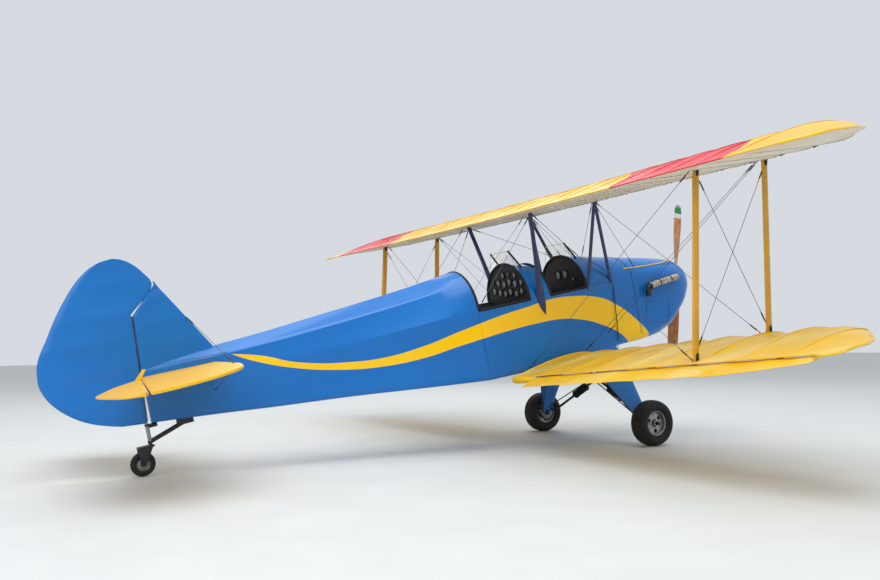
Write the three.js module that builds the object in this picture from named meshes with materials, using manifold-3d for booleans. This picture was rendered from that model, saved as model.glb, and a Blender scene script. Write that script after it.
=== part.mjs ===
// Two-seat open-cockpit biplane, parked on its main wheels and tail wheel.
// Millimetres. The aircraft is drawn level, +X to the nose, +Y to port and +Z up, with the ground point
// between the main wheels at x 0, z 0, and is then turned nose-up onto its tail wheel.
import * as THREE from 'three';
import { mergeVertices } from 'three/addons/utils/BufferGeometryUtils.js';
import Module from 'manifold-3d';

const wasm = await Module();
wasm.setup();

// Driving dimensions
const seatGap = 0.3;
const smallestStep = 0.12;
const seamStep = 0.03;
const hingeClear = 6;

const upperWing = {
  leadX: 330, chord: 1410, leadZ: 2494, incidence: 2.65, dihedral: 0.4, thickness: 0.1175, rootY: 600,
  centreHalf: 600, halfSpan: 3800, tipTail: [0, 0, 0.01, 0.02, 0.05, 0.1],
};
const lowerWing = {
  leadX: -67, chord: 1020, leadZ: 898, incidence: -0.77, dihedral: 4.07, thickness: 0.1175, rootY: 372,
  seatY: 327, halfSpan: 3800, tipTail: [0, 0, 0, -0.06, -0.03, 0.03],
};
const flaperon = { innerY: 690, outerY: 3610, chord: 215, thickness: 26, droop: 12, axisDrop: 24, axisX: -1062 };
const strutY = 2590;
const cabaneY = 552;

const cockpit = { rearArchX: -1350, rearPanelX: -745, midDeckX: -490, frontPanelX: -25, firewallX: 590, wall: 14 };
const longeronZ = 1610;
const thrustZ = 1390;
const propeller = { radius: 915, discX: 1575, turn: 16 };

const mainWheel = { radius: 220, width: 190, rim: 120, halfTrack: 875, x: 45.7, z: 215.2 };
const tailWheel = { radius: 96, width: 56, rim: 52, x: -4452, z: 985 };
const steering = { x: -4368, tubeTop: 1288, tubeBottom: 1128, crownTop: 1118 };
const axleRadius = 18;

const finThickness = 40;
const rudderHinge = { lowX: -4379, lowZ: 1304, highX: -4343, highZ: 2144 };
const tailplane = { z: 1640, hingeX: -4395, hingeRootY: 150, hingeSweep: 0.137, thickness: 38 };

// Materials
const paint = (colour, roughness = 0.35, metalness = 0) =>
  new THREE.MeshStandardMaterial({ color: colour, roughness, metalness });
const blue = paint(0x1a63b8);
const darkBlue = paint(0x17325c);
const yellow = paint(0xe0b03a);
const paleYellow = paint(0xe8c877);
const black = paint(0x18181a, 0.6);
const rubber = paint(0x1c1c1e, 0.9);
const wood = paint(0xb5713a, 0.4);
const steel = paint(0x9a9da0, 0.4, 0.8);
const rust = paint(0x8a7f78, 0.6, 0.6);
const glass = new THREE.MeshStandardMaterial({ color: 0xdfe8ec, roughness: 0.1, transparent: true, opacity: 0.35 });
const leather = paint(0x3a2a20, 0.7);

// Geometry helpers
const degrees = Math.PI / 180;
const vec = (x, y, z) => new THREE.Vector3(x, y, z);

function trianglesToGeometry(points, triangles) {
  const geometry = new THREE.BufferGeometry();
  geometry.setAttribute('position', new THREE.Float32BufferAttribute(points.flatMap((p) => [p.x, p.y, p.z]), 3));
  geometry.setIndex(triangles.flat());
  return geometry;
}

function facingOut(geometry) {
  const position = geometry.attributes.position;
  const index = geometry.index.array;
  const [a, b, c] = [vec(), vec(), vec()];
  let volume = 0;
  for (let i = 0; i < index.length; i += 3) {
    a.fromBufferAttribute(position, index[i]);
    b.fromBufferAttribute(position, index[i + 1]);
    c.fromBufferAttribute(position, index[i + 2]);
    volume += a.dot(b.cross(c));
  }
  if (volume < 0) index.reverse();
  return geometry;
}

// A closed body through rings of equal length, with a fan over each end.
function loft(rings) {
  const size = rings[0].length;
  const points = rings.flat();
  const triangles = [];
  for (let ring = 0; ring + 1 < rings.length; ring += 1) {
    for (let i = 0; i < size; i += 1) {
      const a = ring * size + i;
      const b = ring * size + (i + 1) % size;
      triangles.push([a, b, b + size], [a, b + size, a + size]);
    }
  }
  for (const ring of [0, rings.length - 1]) {
    const centre = rings[ring].reduce((sum, p) => sum.add(p), vec(0, 0, 0)).divideScalar(size);
    points.push(centre);
    for (let i = 0; i < size; i += 1) {
      const edge = [ring * size + (i + 1) % size, ring * size + i, points.length - 1];
      triangles.push(ring === 0 ? edge : edge.reverse());
    }
  }
  return facingOut(trianglesToGeometry(points, triangles));
}

function solidOf(geometry) {
  const bare = geometry.clone();
  bare.deleteAttribute('normal');
  bare.deleteAttribute('uv');
  const merged = mergeVertices(bare, 1e-3);
  return new wasm.Manifold(new wasm.Mesh({
    numProp: 3,
    vertProperties: Float32Array.from(merged.attributes.position.array),
    triVerts: Uint32Array.from(merged.index.array),
  }));
}

function geometryOf(solid) {
  const { vertProperties, triVerts } = solid.simplify(seamStep).getMesh();
  const geometry = new THREE.BufferGeometry();
  geometry.setAttribute('position', new THREE.BufferAttribute(vertProperties, 3));
  geometry.setIndex(new THREE.BufferAttribute(triVerts, 1));
  return geometry;
}

const join = (...geometries) => geometryOf(geometries.map(solidOf).reduce((whole, part) => whole.add(part)));

const cut = (geometry, ...tools) =>
  geometryOf(tools.map(solidOf).reduce((whole, tool) => whole.subtract(tool), solidOf(geometry)));

const common = (geometry, other) => geometryOf(solidOf(geometry).intersect(solidOf(other)));

// Trims a piece where it would enter its neighbour, leaving the seat gap along each given direction, drops any
// end that comes out beyond the neighbour and clears away the slivers of the cut.
function trim(geometry, neighbour, ...directions) {
  const left = directions.reduce((whole, way) => {
    const step = way.clone().normalize().multiplyScalar(seatGap);
    return whole.subtract(solidOf(neighbour.clone().translate(step.x, step.y, step.z)));
  }, solidOf(geometry));
  const bodies = left.decompose().sort((a, b) => b.volume() - a.volume());
  return geometryOf(bodies[0].simplify(smallestStep));
}

function block(x0, x1, y0, y1, z0, z1) {
  const geometry = new THREE.BoxGeometry(Math.abs(x1 - x0), Math.abs(y1 - y0), Math.abs(z1 - z0));
  return geometry.translate((x0 + x1) / 2, (y0 + y1) / 2, (z0 + z1) / 2);
}

function rod(from, to, radius, sides = 12, endRadius = radius) {
  const along = to.clone().sub(from);
  const geometry = new THREE.CylinderGeometry(endRadius, radius, along.length(), sides);
  geometry.applyQuaternion(new THREE.Quaternion().setFromUnitVectors(vec(0, 1, 0), along.clone().normalize()));
  const middle = from.clone().add(to).multiplyScalar(0.5);
  return geometry.translate(middle.x, middle.y, middle.z);
}

// A streamlined bar: chord lies along the part of the aircraft's X axis that is square to the bar.
function fairedBar(from, to, chord, thickness, endChord = chord, endThickness = thickness) {
  const along = to.clone().sub(from).normalize();
  const ahead = vec(1, 0, 0).addScaledVector(along, -along.x).normalize();
  const aside = along.clone().cross(ahead);
  const ring = (centre, c, t) => {
    const outline = [[0.42, 0], [0.3, 0.38], [0, 0.5], [-0.3, 0.34], [-0.58, 0.06], [-0.58, -0.06], [-0.3, -0.34],
      [0, -0.5], [0.3, -0.38]];
    return outline.map(([u, v]) => centre.clone().addScaledVector(ahead, u * c).addScaledVector(aside, v * t));
  };
  return loft([ring(from, chord, thickness), ring(to, endChord, endThickness)]);
}

function extended(from, to, atStart, atEnd) {
  const along = to.clone().sub(from).normalize();
  return [from.clone().addScaledVector(along, -atStart), to.clone().addScaledVector(along, atEnd)];
}

// Cambered aerofoil as [share of chord, height over chord], upper side from nose to tail, then lower side back.
function aerofoil(thickness, steps = 7) {
  const camber = 0.0235;
  const peak = 0.41;
  const tailEdge = 0.004;
  const upper = [];
  const lower = [];
  for (let i = 0; i <= steps; i += 1) {
    const s = 1 - Math.cos((i / steps) * Math.PI / 2);
    const half = 5 * thickness * (0.2969 * Math.sqrt(s) - 0.126 * s - 0.3516 * s ** 2 + 0.2843 * s ** 3
      - 0.1036 * s ** 4) + tailEdge * s;
    const line = s < peak ? camber / peak ** 2 * (2 * peak * s - s ** 2)
      : camber / (1 - peak) ** 2 * (1 - 2 * peak + 2 * peak * s - s ** 2);
    upper.push([s, line + half]);
    if (i > 0) lower.unshift([s, line - half]);
  }
  return [...upper, ...lower];
}

// Wing tip: distance in from the tip, share of chord taken off the nose, share of the full thickness. The share taken
// off the tail is each wing's own.
const tipStations = [
  [560, 0, 1], [390, 0.15, 0.74], [200, 0.4, 0.48], [100, 0.54, 0.36], [40, 0.66, 0.3], [0, 0.76, 0.26],
];

function wingPanel(wing, side, fromY, toTip) {
  const tip = tipStations.map(([inset, nose, full], i) => [wing.halfSpan - inset, nose, wing.tipTail[i], full]);
  const stations = [[fromY, 0, 0, 1], ...(toTip ? tip : [[-fromY, 0, 0, 1]])];
  const rings = stations.map(([y, nose, tail, full]) => {
    const chord = wing.chord * (1 - nose - tail);
    return aerofoil(wing.thickness * full).map(([s, h]) => {
      const aft = nose * wing.chord + s * chord;
      const lift = toTip ? (y - Math.min(wing.rootY ?? 0, y)) * Math.tan(wing.dihedral * degrees) : 0;
      const fall = aft * Math.tan(wing.incidence * degrees);
      return vec(wing.leadX - aft, side * y, wing.leadZ - fall + h * chord + lift);
    });
  });
  return loft(rings);
}

// Fuselage cross section: flat bottom with round corners, flat side, half-elliptical top.
function hullRing({ x, half, bottom, shoulder, crown, corner }, inset = 0) {
  const ring = [];
  const w = half - inset;
  const r = Math.max(corner - inset, 2);
  const low = bottom + inset;
  const cornerSteps = 3;
  const archSteps = 12;
  for (const side of [1, -1]) {
    const part = [];
    for (let i = 0; i <= cornerSteps; i += 1) {
      const a = (i / cornerSteps) * Math.PI / 2;
      part.push(vec(x, side * (w - r + r * Math.sin(a)), low + r - r * Math.cos(a)));
    }
    if (side > 0) {
      ring.push(...part);
      for (let i = 0; i <= archSteps; i += 1) {
        const a = (i / archSteps) * Math.PI;
        ring.push(vec(x, w * Math.cos(a), shoulder + (crown - inset - shoulder) * Math.sin(a)));
      }
    } else ring.push(...part.reverse());
  }
  return ring;
}

const hullColumns = ['x', 'half', 'bottom', 'shoulder', 'crown', 'corner'];
const hullStations = (rows) => rows.map((row) => Object.fromEntries(row.map((value, i) => [hullColumns[i], value])));
// x, half width, bottom, shoulder (upper longeron), crown, corner radius
const rearHull = hullStations([
  [-4333, 26, 1286, 1714, 1730, 10],
  [-3740, 92, 1222, 1700, 1783, 14],
  [-2957, 184, 1138, 1665, 1842, 18],
  [-2153, 276, 1040, 1636, 1912, 22],
  [-1350, 360, 945, 1614, 2012, 26],
]);
const cockpitHull = hullStations([
  [-1350, 360, 945, 1610, 2000, 26],
  [-745, 362, 925, 1606, 1985, 30],
  [-490, 362, 928, 1604, 1945, 30],
  [-25, 362, 938, 1602, 1955, 32],
  [330, 364, 938, 1598, 1894, 40],
  [590, 368, 930, 1590, 1848, 60],
]);
const cowlHull = hullStations([
  [590, 368, 930, 1590, 1848, 60],
  [830, 376, 935, 1560, 1806, 110],
  [1070, 380, 975, 1520, 1765, 170],
  [1280, 365, 1090, 1470, 1724, 210],
  [1430, 320, 1235, 1440, 1684, 170],
  [1500, 255, 1330, 1425, 1620, 110],
]);
const hull = (stations, inset = 0) => loft(stations.map((station) => hullRing(station, inset)));

// Nose-up angle at which the main wheels and the tail wheel both touch the ground
const wheelbase = Math.hypot(mainWheel.x - tailWheel.x, tailWheel.z - mainWheel.z);
const parkedAngle = Math.asin((mainWheel.radius - tailWheel.radius) / wheelbase)
  + Math.atan2(tailWheel.z - mainWheel.z, mainWheel.x - tailWheel.x);

const aircraft = new THREE.Group();
aircraft.rotation.y = -parkedAngle;

function add(name, geometry, material) {
  const mesh = new THREE.Mesh(geometry, material);
  mesh.name = name;
  aircraft.add(mesh);
  return geometry;
}

const sides = [{ label: 'left', side: 1 }, { label: 'right', side: -1 }];

// Fuselage

function cockpitTub() {
  const outer = hull(cockpitHull.map((s, i) => ({ ...s, x: s.x + (i === 0 ? seatGap : 0) })));
  const inner = cockpitHull.map((s) => ({ ...s }));
  inner[0].x += 20;
  inner[inner.length - 1].x -= 20;
  const openings = [
    block(cockpit.rearArchX - 10, cockpit.rearPanelX - 3, -500, 500, longeronZ, 2200),
    block(cockpit.midDeckX, cockpit.frontPanelX - 3, -500, 500, longeronZ, 2200),
  ];
  return cut(outer, hull(inner, cockpit.wall), ...openings);
}

function panel(x, arch) {
  const slab = block(x, x + 6, -400, 400, 1480, 2000);
  return common(slab, hull(arch, cockpit.wall + seatGap));
}

function cowling() {
  const outer = hull(cowlHull.map((s, i) => ({ ...s, x: s.x + (i === 0 ? seatGap : 0) })));
  const inner = cowlHull.map((s) => ({ ...s }));
  inner[0].x -= 5;
  const noseHole = block(1300, 1700, -150, 150, thrustZ - 60, thrustZ + 120);
  return cut(outer, hull(inner.slice(0, 5), 8), noseHole);
}

const tubOuter = hull(cockpitHull);
const tub = add('cockpit_tub', cockpitTub(), blue);
const cowlOuter = hull(cowlHull);
add('cowling', cowling(), blue);
add('rear_instrument_panel', panel(cockpit.rearPanelX, cockpitHull), black);
add('front_instrument_panel', panel(cockpit.frontPanelX, cockpitHull), black);

// Engine block on four mounting lugs against the firewall
function engine() {
  const body = block(800, 1340, -230, 230, 1180, 1600);
  const lugs = [];
  for (const y of [-190, 190]) {
    for (const z of [1220, 1560]) lugs.push(rod(vec(cockpit.firewallX + seatGap, y, z), vec(810, y, z), 16, 8));
  }
  return join(body, ...lugs);
}
add('engine_block', engine(), steel);

// Exhaust pipe along the starboard side of the cowling
function exhaust() {
  const path = [vec(1225, -330, 1490), vec(1200, -405, 1488), vec(1150, -428, 1483), vec(960, -428, 1460),
    vec(790, -424, 1440), vec(748, -422, 1420), vec(735, -420, 1375)];
  const curve = new THREE.CatmullRomCurve3(path);
  const outline = new THREE.Shape().absarc(0, 0, 28, 0, 2 * Math.PI);
  const pipe = new THREE.ExtrudeGeometry(outline, { steps: 18, curveSegments: 5, extrudePath: curve });
  return trim(pipe, cowlOuter, vec(0, -1, 0));
}
add('exhaust_pipe', exhaust(), rust);

// Propeller with its boss, and the hub that carries it
function propellerBlades() {
  const rings = [];
  // radius, chord, thickness, pitch angle
  const stations = [[40, 80, 70, 60], [130, 105, 55, 52], [330, 135, 32, 36], [560, 130, 20, 26], [760, 105, 13, 21],
    [870, 75, 9, 19], [propeller.radius, 36, 6, 18]];
  const ring = ([r, chord, thick, pitch], way) => {
    const outline = [[0.5, 0], [0.25, 0.42], [-0.15, 0.5], [-0.5, 0.05], [-0.5, -0.05], [0, -0.4], [0.3, -0.3]];
    const a = (90 - pitch) * degrees;
    return outline.map(([u, v]) => vec(
      u * chord * Math.cos(a) + v * thick * Math.sin(a),
      way * (u * chord * Math.sin(a) - v * thick * Math.cos(a)),
      way * r,
    ));
  };
  for (const way of [-1, 1]) rings.push(loft(stations.map((station) => ring(station, way))));
  const boss = rod(vec(-45, 0, 0), vec(45, 0, 0), 72, 20);
  return join(boss, ...rings).rotateX(propeller.turn * degrees).translate(propeller.discX, 0, thrustZ);
}
add('propeller', propellerBlades(), wood);
const hubFace = propeller.discX - 45 - seatGap;
add('propeller_hub', join(
  rod(vec(hubFace - 14, 0, thrustZ), vec(hubFace, 0, thrustZ), 64, 20),
  rod(vec(1340 + seatGap, 0, thrustZ), vec(hubFace - 7, 0, thrustZ), 24, 16),
), steel);

// Seats and control sticks
function seat(x) {
  const base = block(x, x + 400, -205, 205, 1150, 1200);
  const back = block(x - 20, x + 30, -205, 205, 1150, 1590);
  const post = block(x + 60, x + 320, -150, 150, 930, 1160);
  return trim(join(base, back, post), tub, vec(0, 0, 1));
}
add('rear_seat', seat(-1290), leather);
add('front_seat', seat(-560), leather);
for (const [label, x] of [['rear', -830], ['front', -105]]) {
  const stick = join(rod(vec(x, 0, 930), vec(x, 0, 970), 40, 12), rod(vec(x, 0, 950), vec(x - 30, 0, 1420), 12, 10));
  add(`${label}_stick`, trim(stick, tub, vec(0, 0, 1)), black);
}

// Wings
const upperCentre = wingPanel(upperWing, 1, -upperWing.centreHalf, false);
add('upper_wing_centre', upperCentre, paleYellow);
const upperPanels = {};
const lowerPanels = {};
for (const { label, side } of sides) {
  upperPanels[label] = add(`upper_wing_${label}`,
    wingPanel(upperWing, side, upperWing.centreHalf + seatGap, true), paleYellow);
}

// Flaperons hang on three lugs under the tail edge of each lower wing
const lugShares = [0.08, 0.5, 0.9];
const lowerTailZ = lowerWing.leadZ - lowerWing.chord * Math.tan(lowerWing.incidence * degrees);
const lowerLift = (y) => (y - lowerWing.rootY) * Math.tan(lowerWing.dihedral * degrees);
const flaperonAxis = (y) => vec(flaperon.axisX, y, lowerTailZ + lowerLift(y) - flaperon.axisDrop);

function flaperonSection(y, share = 1) {
  const nose = flaperon.thickness / 2;
  const centre = flaperonAxis(y);
  const tail = flaperon.chord * share - nose;
  const outline = [[0, nose]];
  for (let i = 1; i < 6; i += 1) {
    const a = Math.PI / 2 - (i / 6) * Math.PI;
    outline.push([nose * Math.cos(a), nose * Math.sin(a)]);
  }
  outline.push([0, -nose], [-tail * 0.5, -nose * 0.62], [-tail, -2], [-tail, 2], [-tail * 0.5, nose * 0.72]);
  const c = Math.cos(flaperon.droop * degrees);
  const s = Math.sin(flaperon.droop * degrees);
  return outline.map(([u, v]) => vec(centre.x + u * c - v * s, y, centre.z + u * s + v * c));
}

function mirrored(geometry, side) {
  if (side > 0) return geometry;
  return facingOut(geometry.clone().scale(1, -1, 1));
}

function hingeLugs() {
  const width = 8;
  return lugShares.map((share) => {
    const y = flaperon.innerY + share * (flaperon.outerY - flaperon.innerY);
    const axis = flaperonAxis(y);
    const wingUnder = axis.z + flaperon.axisDrop + 8;
    const arm = loft([-1, 1].map((way) => [
      vec(axis.x - 8, y + way * width / 2, axis.z - 8),
      vec(axis.x + 8, y + way * width / 2, axis.z - 8),
      vec(axis.x + 90, y + way * width / 2, wingUnder + 2),
      vec(axis.x + 10, y + way * width / 2, wingUnder + 2),
      vec(axis.x - 8, y + way * width / 2, axis.z + 8),
    ]));
    const pin = rod(flaperonAxis(y - 16), flaperonAxis(y + 16), 4, 16);
    return join(arm, pin);
  });
}

function hingeSlots() {
  return lugShares.flatMap((share) => {
    const y = flaperon.innerY + share * (flaperon.outerY - flaperon.innerY);
    const axis = flaperonAxis(y);
    const slot = block(axis.x - 22, axis.x + 40, y - 10, y + 10, axis.z - 60, axis.z + 60);
    const bore = rod(flaperonAxis(y - 18), flaperonAxis(y + 18), 4.4, 16);
    return [slot, bore];
  });
}

for (const { label, side } of sides) {
  const wing = trim(wingPanel(lowerWing, 1, lowerWing.seatY, true), tubOuter, vec(0, 1, 0), vec(0, 0, -1));
  lowerPanels[label] = add(`lower_wing_${label}`, mirrored(join(wing, ...hingeLugs()), side), yellow);
  const surface = loft([flaperonSection(flaperon.innerY), flaperonSection(flaperon.outerY - 690),
    flaperonSection(flaperon.outerY - 290, 0.72), flaperonSection(flaperon.outerY - 100, 0.56),
    flaperonSection(flaperon.outerY, 0.34)]);
  add(`flaperon_${label}`, mirrored(cut(surface, ...hingeSlots()), side), yellow);
}

// Interplane struts: label, foot x and z, head x and z
const strutTable = [['front', -192, 1120, 93, 2442], ['rear', -1020, 1084, -684, 2440]];
for (const { label, side } of sides) {
  for (const [place, footX, footZ, headX, headZ] of strutTable) {
    const [foot, head] = extended(vec(footX, side * strutY, footZ), vec(headX, side * strutY, headZ), 60, 40);
    const raw = fairedBar(foot, head, 72, 28);
    const topTrimmed = trim(raw, upperPanels[label], vec(0, 0, -1));
    add(`${place}_strut_${label}`, trim(topTrimmed, lowerPanels[label], vec(0, 0, 1)), yellow);
  }
}

// Cabane struts: a V at the front and a single leg with a wide foot at the rear, on each side
for (const { label, side } of sides) {
  const hullSide = vec(0, side, 0);
  const apex = vec(109, side * cabaneY, 2450);
  const legs = [vec(316, side * 352, 1560), vec(-12, side * 352, 1560)];
  const vee = join(...legs.map((foot) => fairedBar(foot, apex, 46, 22)));
  const vTop = trim(vee, upperCentre, vec(0, 0, -1));
  add(`front_cabane_${label}`, trim(vTop, tubOuter, hullSide, vec(0, 0, 1)), darkBlue);
  const rear = fairedBar(vec(-590, side * 358, 1470), vec(-703, side * cabaneY, 2450), 120, 24, 50, 22);
  const rTop = trim(rear, upperCentre, vec(0, 0, -1));
  add(`rear_cabane_${label}`, trim(rTop, tubOuter, hullSide, vec(0, 0, 1)), darkBlue);
}

// Windshields: a raked middle pane with a side pane each way, and black posts along the corners
const windshieldRake = 140;
const windshieldHeight = 165;
const postRadius = 7;

function plate(points, x, y, z) {
  return loft([points, points.map((p) => p.clone().add(vec(x, y, z)))]);
}

function windshieldPane(base, panelX, coamingZ) {
  const foot = (side) => vec(base.x, side * 165, base.z - 40);
  const head = (side) => vec(base.x - windshieldRake, side * 150, base.z + windshieldHeight);
  const sidePanes = [-1, 1].map((side) =>
    plate([foot(side), head(side), vec(panelX + 10, side * 262, coamingZ)], 0, -side * 4, 0));
  return join(plate([foot(-1), foot(1), head(1), head(-1)], -4, 0, -3), ...sidePanes);
}

function windshieldFrame(base, radius) {
  const out = 8;
  const foot = (side) => vec(base.x + out, side * (165 + out), base.z - 60);
  const head = (side) => vec(base.x - windshieldRake + out, side * (150 + out), base.z + windshieldHeight + 6);
  const [barStart, barEnd] = extended(head(-1), head(1), 6, 6);
  return join(rod(foot(-1), head(-1), radius, 8), rod(foot(1), head(1), radius, 8),
    rod(barStart, barEnd, radius * 1.25, 10));
}

const windshieldTable = [
  ['rear', vec(-625, 0, 1940), cockpit.rearPanelX, 1850],
  ['front', vec(85, 0, 1915), cockpit.frontPanelX, 1830],
];
for (const [label, base, panelX, coamingZ] of windshieldTable) {
  add(`${label}_windshield_frame`, trim(windshieldFrame(base, postRadius), tubOuter, vec(0, 0, 1)), black);
  const pane = cut(windshieldPane(base, panelX, coamingZ), windshieldFrame(base, postRadius + 2 * seatGap));
  add(`${label}_windshield`, trim(pane, tubOuter, vec(0, 0, 1)), glass);
}

// Rear fuselage, fin and rudder
const hingeAt = (z) => rudderHinge.lowX + (z - rudderHinge.lowZ) * (rudderHinge.highX - rudderHinge.lowX)
  / (rudderHinge.highZ - rudderHinge.lowZ);
const noseRadius = finThickness / 2;

function plateSection(z, frontX, rearX, frontHalf, rearHalf) {
  return [vec(frontX, frontHalf * 0.5, z), vec(frontX - frontHalf * 0.8, frontHalf, z), vec(rearX, rearHalf, z),
    vec(rearX, -rearHalf, z), vec(frontX - frontHalf * 0.8, -frontHalf, z), vec(frontX, -frontHalf * 0.5, z)];
}

// z, front edge x of the fin; its rear edge follows the hinge line and then the horn gap
const finStations = [[1690, -3683], [1800, -3750], [2100, -3933], [2250, -4025], [2370, -4098]];
const hornGap = (z) => rudderHinge.highX + (z - rudderHinge.highZ) * 0.951;

function fin() {
  return loft(finStations.map(([z, frontX]) => {
    const rearX = z <= rudderHinge.highZ ? hingeAt(z) + noseRadius + hingeClear : hornGap(z) + 24;
    const half = z > 2300 ? 8 : 14;
    return plateSection(z, frontX, Math.min(rearX, frontX - 8), half, z > 2200 ? 8 : 18);
  }));
}

// z, rear edge x of the rudder
const rudderStations = [[1300, -4500], [1331, -4622], [1390, -4770], [1466, -4885], [1568, -4985], [1667, -5043],
  [1764, -5067], [1876, -5057], [1947, -5033], [2082, -4954], [2144, -4915], [2233, -4864], [2376, -4761],
  [2471, -4679], [2555, -4577], [2610, -4400]];
const hornTop = [[2376, -4124], [2471, -4176], [2555, -4252], [2610, -4330]];

function rudder() {
  const rings = rudderStations.map(([z, rearX]) => {
    const top = hornTop.find(([height]) => height === z);
    const onHinge = z <= rudderHinge.highZ;
    const centre = hingeAt(z);
    const frontX = top ? top[1] : hornGap(z) + 8;
    const half = z > 2500 ? 9 : 14;
    if (onHinge) {
      const nose = [];
      for (let i = 0; i <= 4; i += 1) {
        const a = (i / 4 - 0.5) * Math.PI;
        nose.push(vec(centre + noseRadius * Math.cos(a), noseRadius * Math.sin(a), z));
      }
      return [...nose, vec((centre + rearX) / 2, 14, z), vec(rearX, 4, z), vec(rearX, -4, z),
        vec((centre + rearX) / 2, -14, z)];
    }
    const near = frontX - half * 1.5;
    return [vec(near - 30, -half, z), vec(near, -half, z), vec(frontX, 0, z), vec(near, half, z),
      vec(near - 30, half, z), vec((near + rearX) / 2, half, z), vec(rearX, 4, z), vec(rearX, -4, z),
      vec((near + rearX) / 2, -half, z)];
  });
  return loft(rings);
}

const rudderLugs = [1400, 1800, 2080];
const rudderAxis = (z) => vec(hingeAt(z), 0, z);

function rudderSlots() {
  return rudderLugs.flatMap((z) => [
    block(hingeAt(z) - 26, hingeAt(z) + 60, -60, 60, z - 11, z + 11),
    rod(rudderAxis(z - 18), rudderAxis(z + 18), 4.4, 16),
  ]);
}

function rudderLug(z) {
  return join(
    block(hingeAt(z) - 8, hingeAt(z) + noseRadius + hingeClear + 34, -9, 9, z - 4, z + 4),
    rod(rudderAxis(z - 16), rudderAxis(z + 16), 4, 16),
  );
}

const rearHullSolid = add('rear_fuselage', join(hull(rearHull), rudderLug(rudderLugs[0])), blue);
const rudderBody = cut(rudder(), ...rudderSlots());
const finSolid = join(fin(), ...rudderLugs.slice(1).map(rudderLug));
const hullAndGap = hull(rearHull.map((s, i) => ({ ...s, x: s.x - (i === 0 ? seatGap : 0) })), -seatGap);
add('fin', cut(finSolid, hullAndGap), blue);
add('rudder', rudderBody, blue);

// Tailplane halves: distance out, front edge x, share of full thickness; the rear edge follows the hinge line
const stabStations = [[45, -3755, 1], [750, -3762, 1], [980, -3800, 0.95], [1130, -3872, 0.9], [1330, -4070, 0.8],
  [1430, -4230, 0.75], [1485, -4400, 0.7], [1500, -4490, 0.65]];
// Elevator halves: distance out, rear edge x, share of full thickness
const elevatorStations = [[150, -4442, 1], [240, -4500, 1], [370, -4600, 1], [590, -4700, 1], [900, -4800, 1],
  [1210, -4752, 0.9], [1400, -4705, 0.8], [1465, -4665, 0.7], [1485, -4630, 0.65]];
const elevatorLugs = [270, 760, 1260];
const tailNose = tailplane.thickness / 2;
const elevatorAxis = (y) =>
  vec(tailplane.hingeX - (y - tailplane.hingeRootY) * tailplane.hingeSweep, y, tailplane.z);

function stabiliser() {
  const rings = stabStations.map(([y, frontX, thin]) => {
    const half = tailNose * thin;
    const rearX = elevatorAxis(y).x + tailNose + hingeClear;
    const ease = Math.min(90, (frontX - rearX) * 0.5);
    return [[0, 0], [ease * 0.25, 0.7], [ease, 1]].map(([aft, share]) =>
      vec(frontX - aft, y, tailplane.z + half * share))
      .concat([vec(rearX, y, tailplane.z + half), vec(rearX, y, tailplane.z - half)])
      .concat([[ease, 1], [ease * 0.25, 0.7]].map(([aft, share]) =>
        vec(frontX - aft, y, tailplane.z - half * share)));
  });
  const lugs = elevatorLugs.map((y) => {
    const axis = elevatorAxis(y);
    return join(
      block(axis.x - 8, axis.x + tailNose + hingeClear + 12, y - 4, y + 4, axis.z - 9, axis.z + 9),
      rod(elevatorAxis(y - 16), elevatorAxis(y + 16), 4, 16),
    );
  });
  return join(loft(rings), ...lugs);
}

function elevator() {
  const rings = elevatorStations.map(([y, rearX, thin]) => {
    const axis = elevatorAxis(y);
    const nose = tailNose * thin;
    const ring = [];
    for (let i = 0; i <= 4; i += 1) {
      const a = (i / 4 - 0.5) * Math.PI;
      ring.push(vec(axis.x + nose * Math.cos(a), y, axis.z + nose * Math.sin(a)));
    }
    const middleX = (axis.x + rearX) / 2;
    ring.push(vec(middleX, y, axis.z + nose * 0.65), vec(rearX, y, axis.z + 3), vec(rearX, y, axis.z - 3),
      vec(middleX, y, axis.z - nose * 0.65));
    return ring;
  });
  const slots = elevatorLugs.flatMap((y) => {
    const axis = elevatorAxis(y);
    return [
      block(axis.x - 26, axis.x + 40, y - 11, y + 11, axis.z - 60, axis.z + 60),
      rod(elevatorAxis(y - 18), elevatorAxis(y + 18), 4.4, 16),
    ];
  });
  return cut(loft(rings), ...slots);
}

for (const { label, side } of sides) {
  const half = mirrored(stabiliser(), side);
  add(`stabiliser_${label}`, trim(half, rearHullSolid, vec(0, side, 0)), yellow);
  add(`elevator_${label}`, mirrored(elevator(), side), yellow);
}

// Main gear: faired legs with axles, a centre frame under the belly and two shock struts
const axlePoint = (side, y) => vec(mainWheel.x, side * y, mainWheel.z);

function gearLeg(side) {
  const ring = (frontX, rearX, y, z, thick) => [vec(frontX, side * y, z), vec(frontX - 25, side * (y + thick), z),
    vec(rearX + 25, side * (y + thick), z), vec(rearX, side * y, z), vec(rearX + 25, side * (y - thick), z),
    vec(frontX - 25, side * (y - thick), z)];
  const leg = loft([ring(225, -275, 345, 960, 16), ring(100, -15, 790, 225, 18)]);
  const axle = rod(axlePoint(side, 770), axlePoint(side, mainWheel.halfTrack + 98), axleRadius, 16);
  const collar = rod(axlePoint(side, 770), axlePoint(side, mainWheel.halfTrack - 68), 30, 16);
  const lug = rod(vec(150, side * 700, 250), vec(85, side * 760, 232), 12, 8);
  return trim(join(leg, axle, collar, lug), tubOuter, vec(0, 0, -1));
}

// The legs' tops are cut by a wing that is larger all round, from inside the fuselage outwards.
const wingAndGap = wingPanel({
  ...lowerWing, leadX: lowerWing.leadX + 1, chord: lowerWing.chord + 2, thickness: lowerWing.thickness + 0.002,
}, 1, lowerWing.seatY, true);

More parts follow.
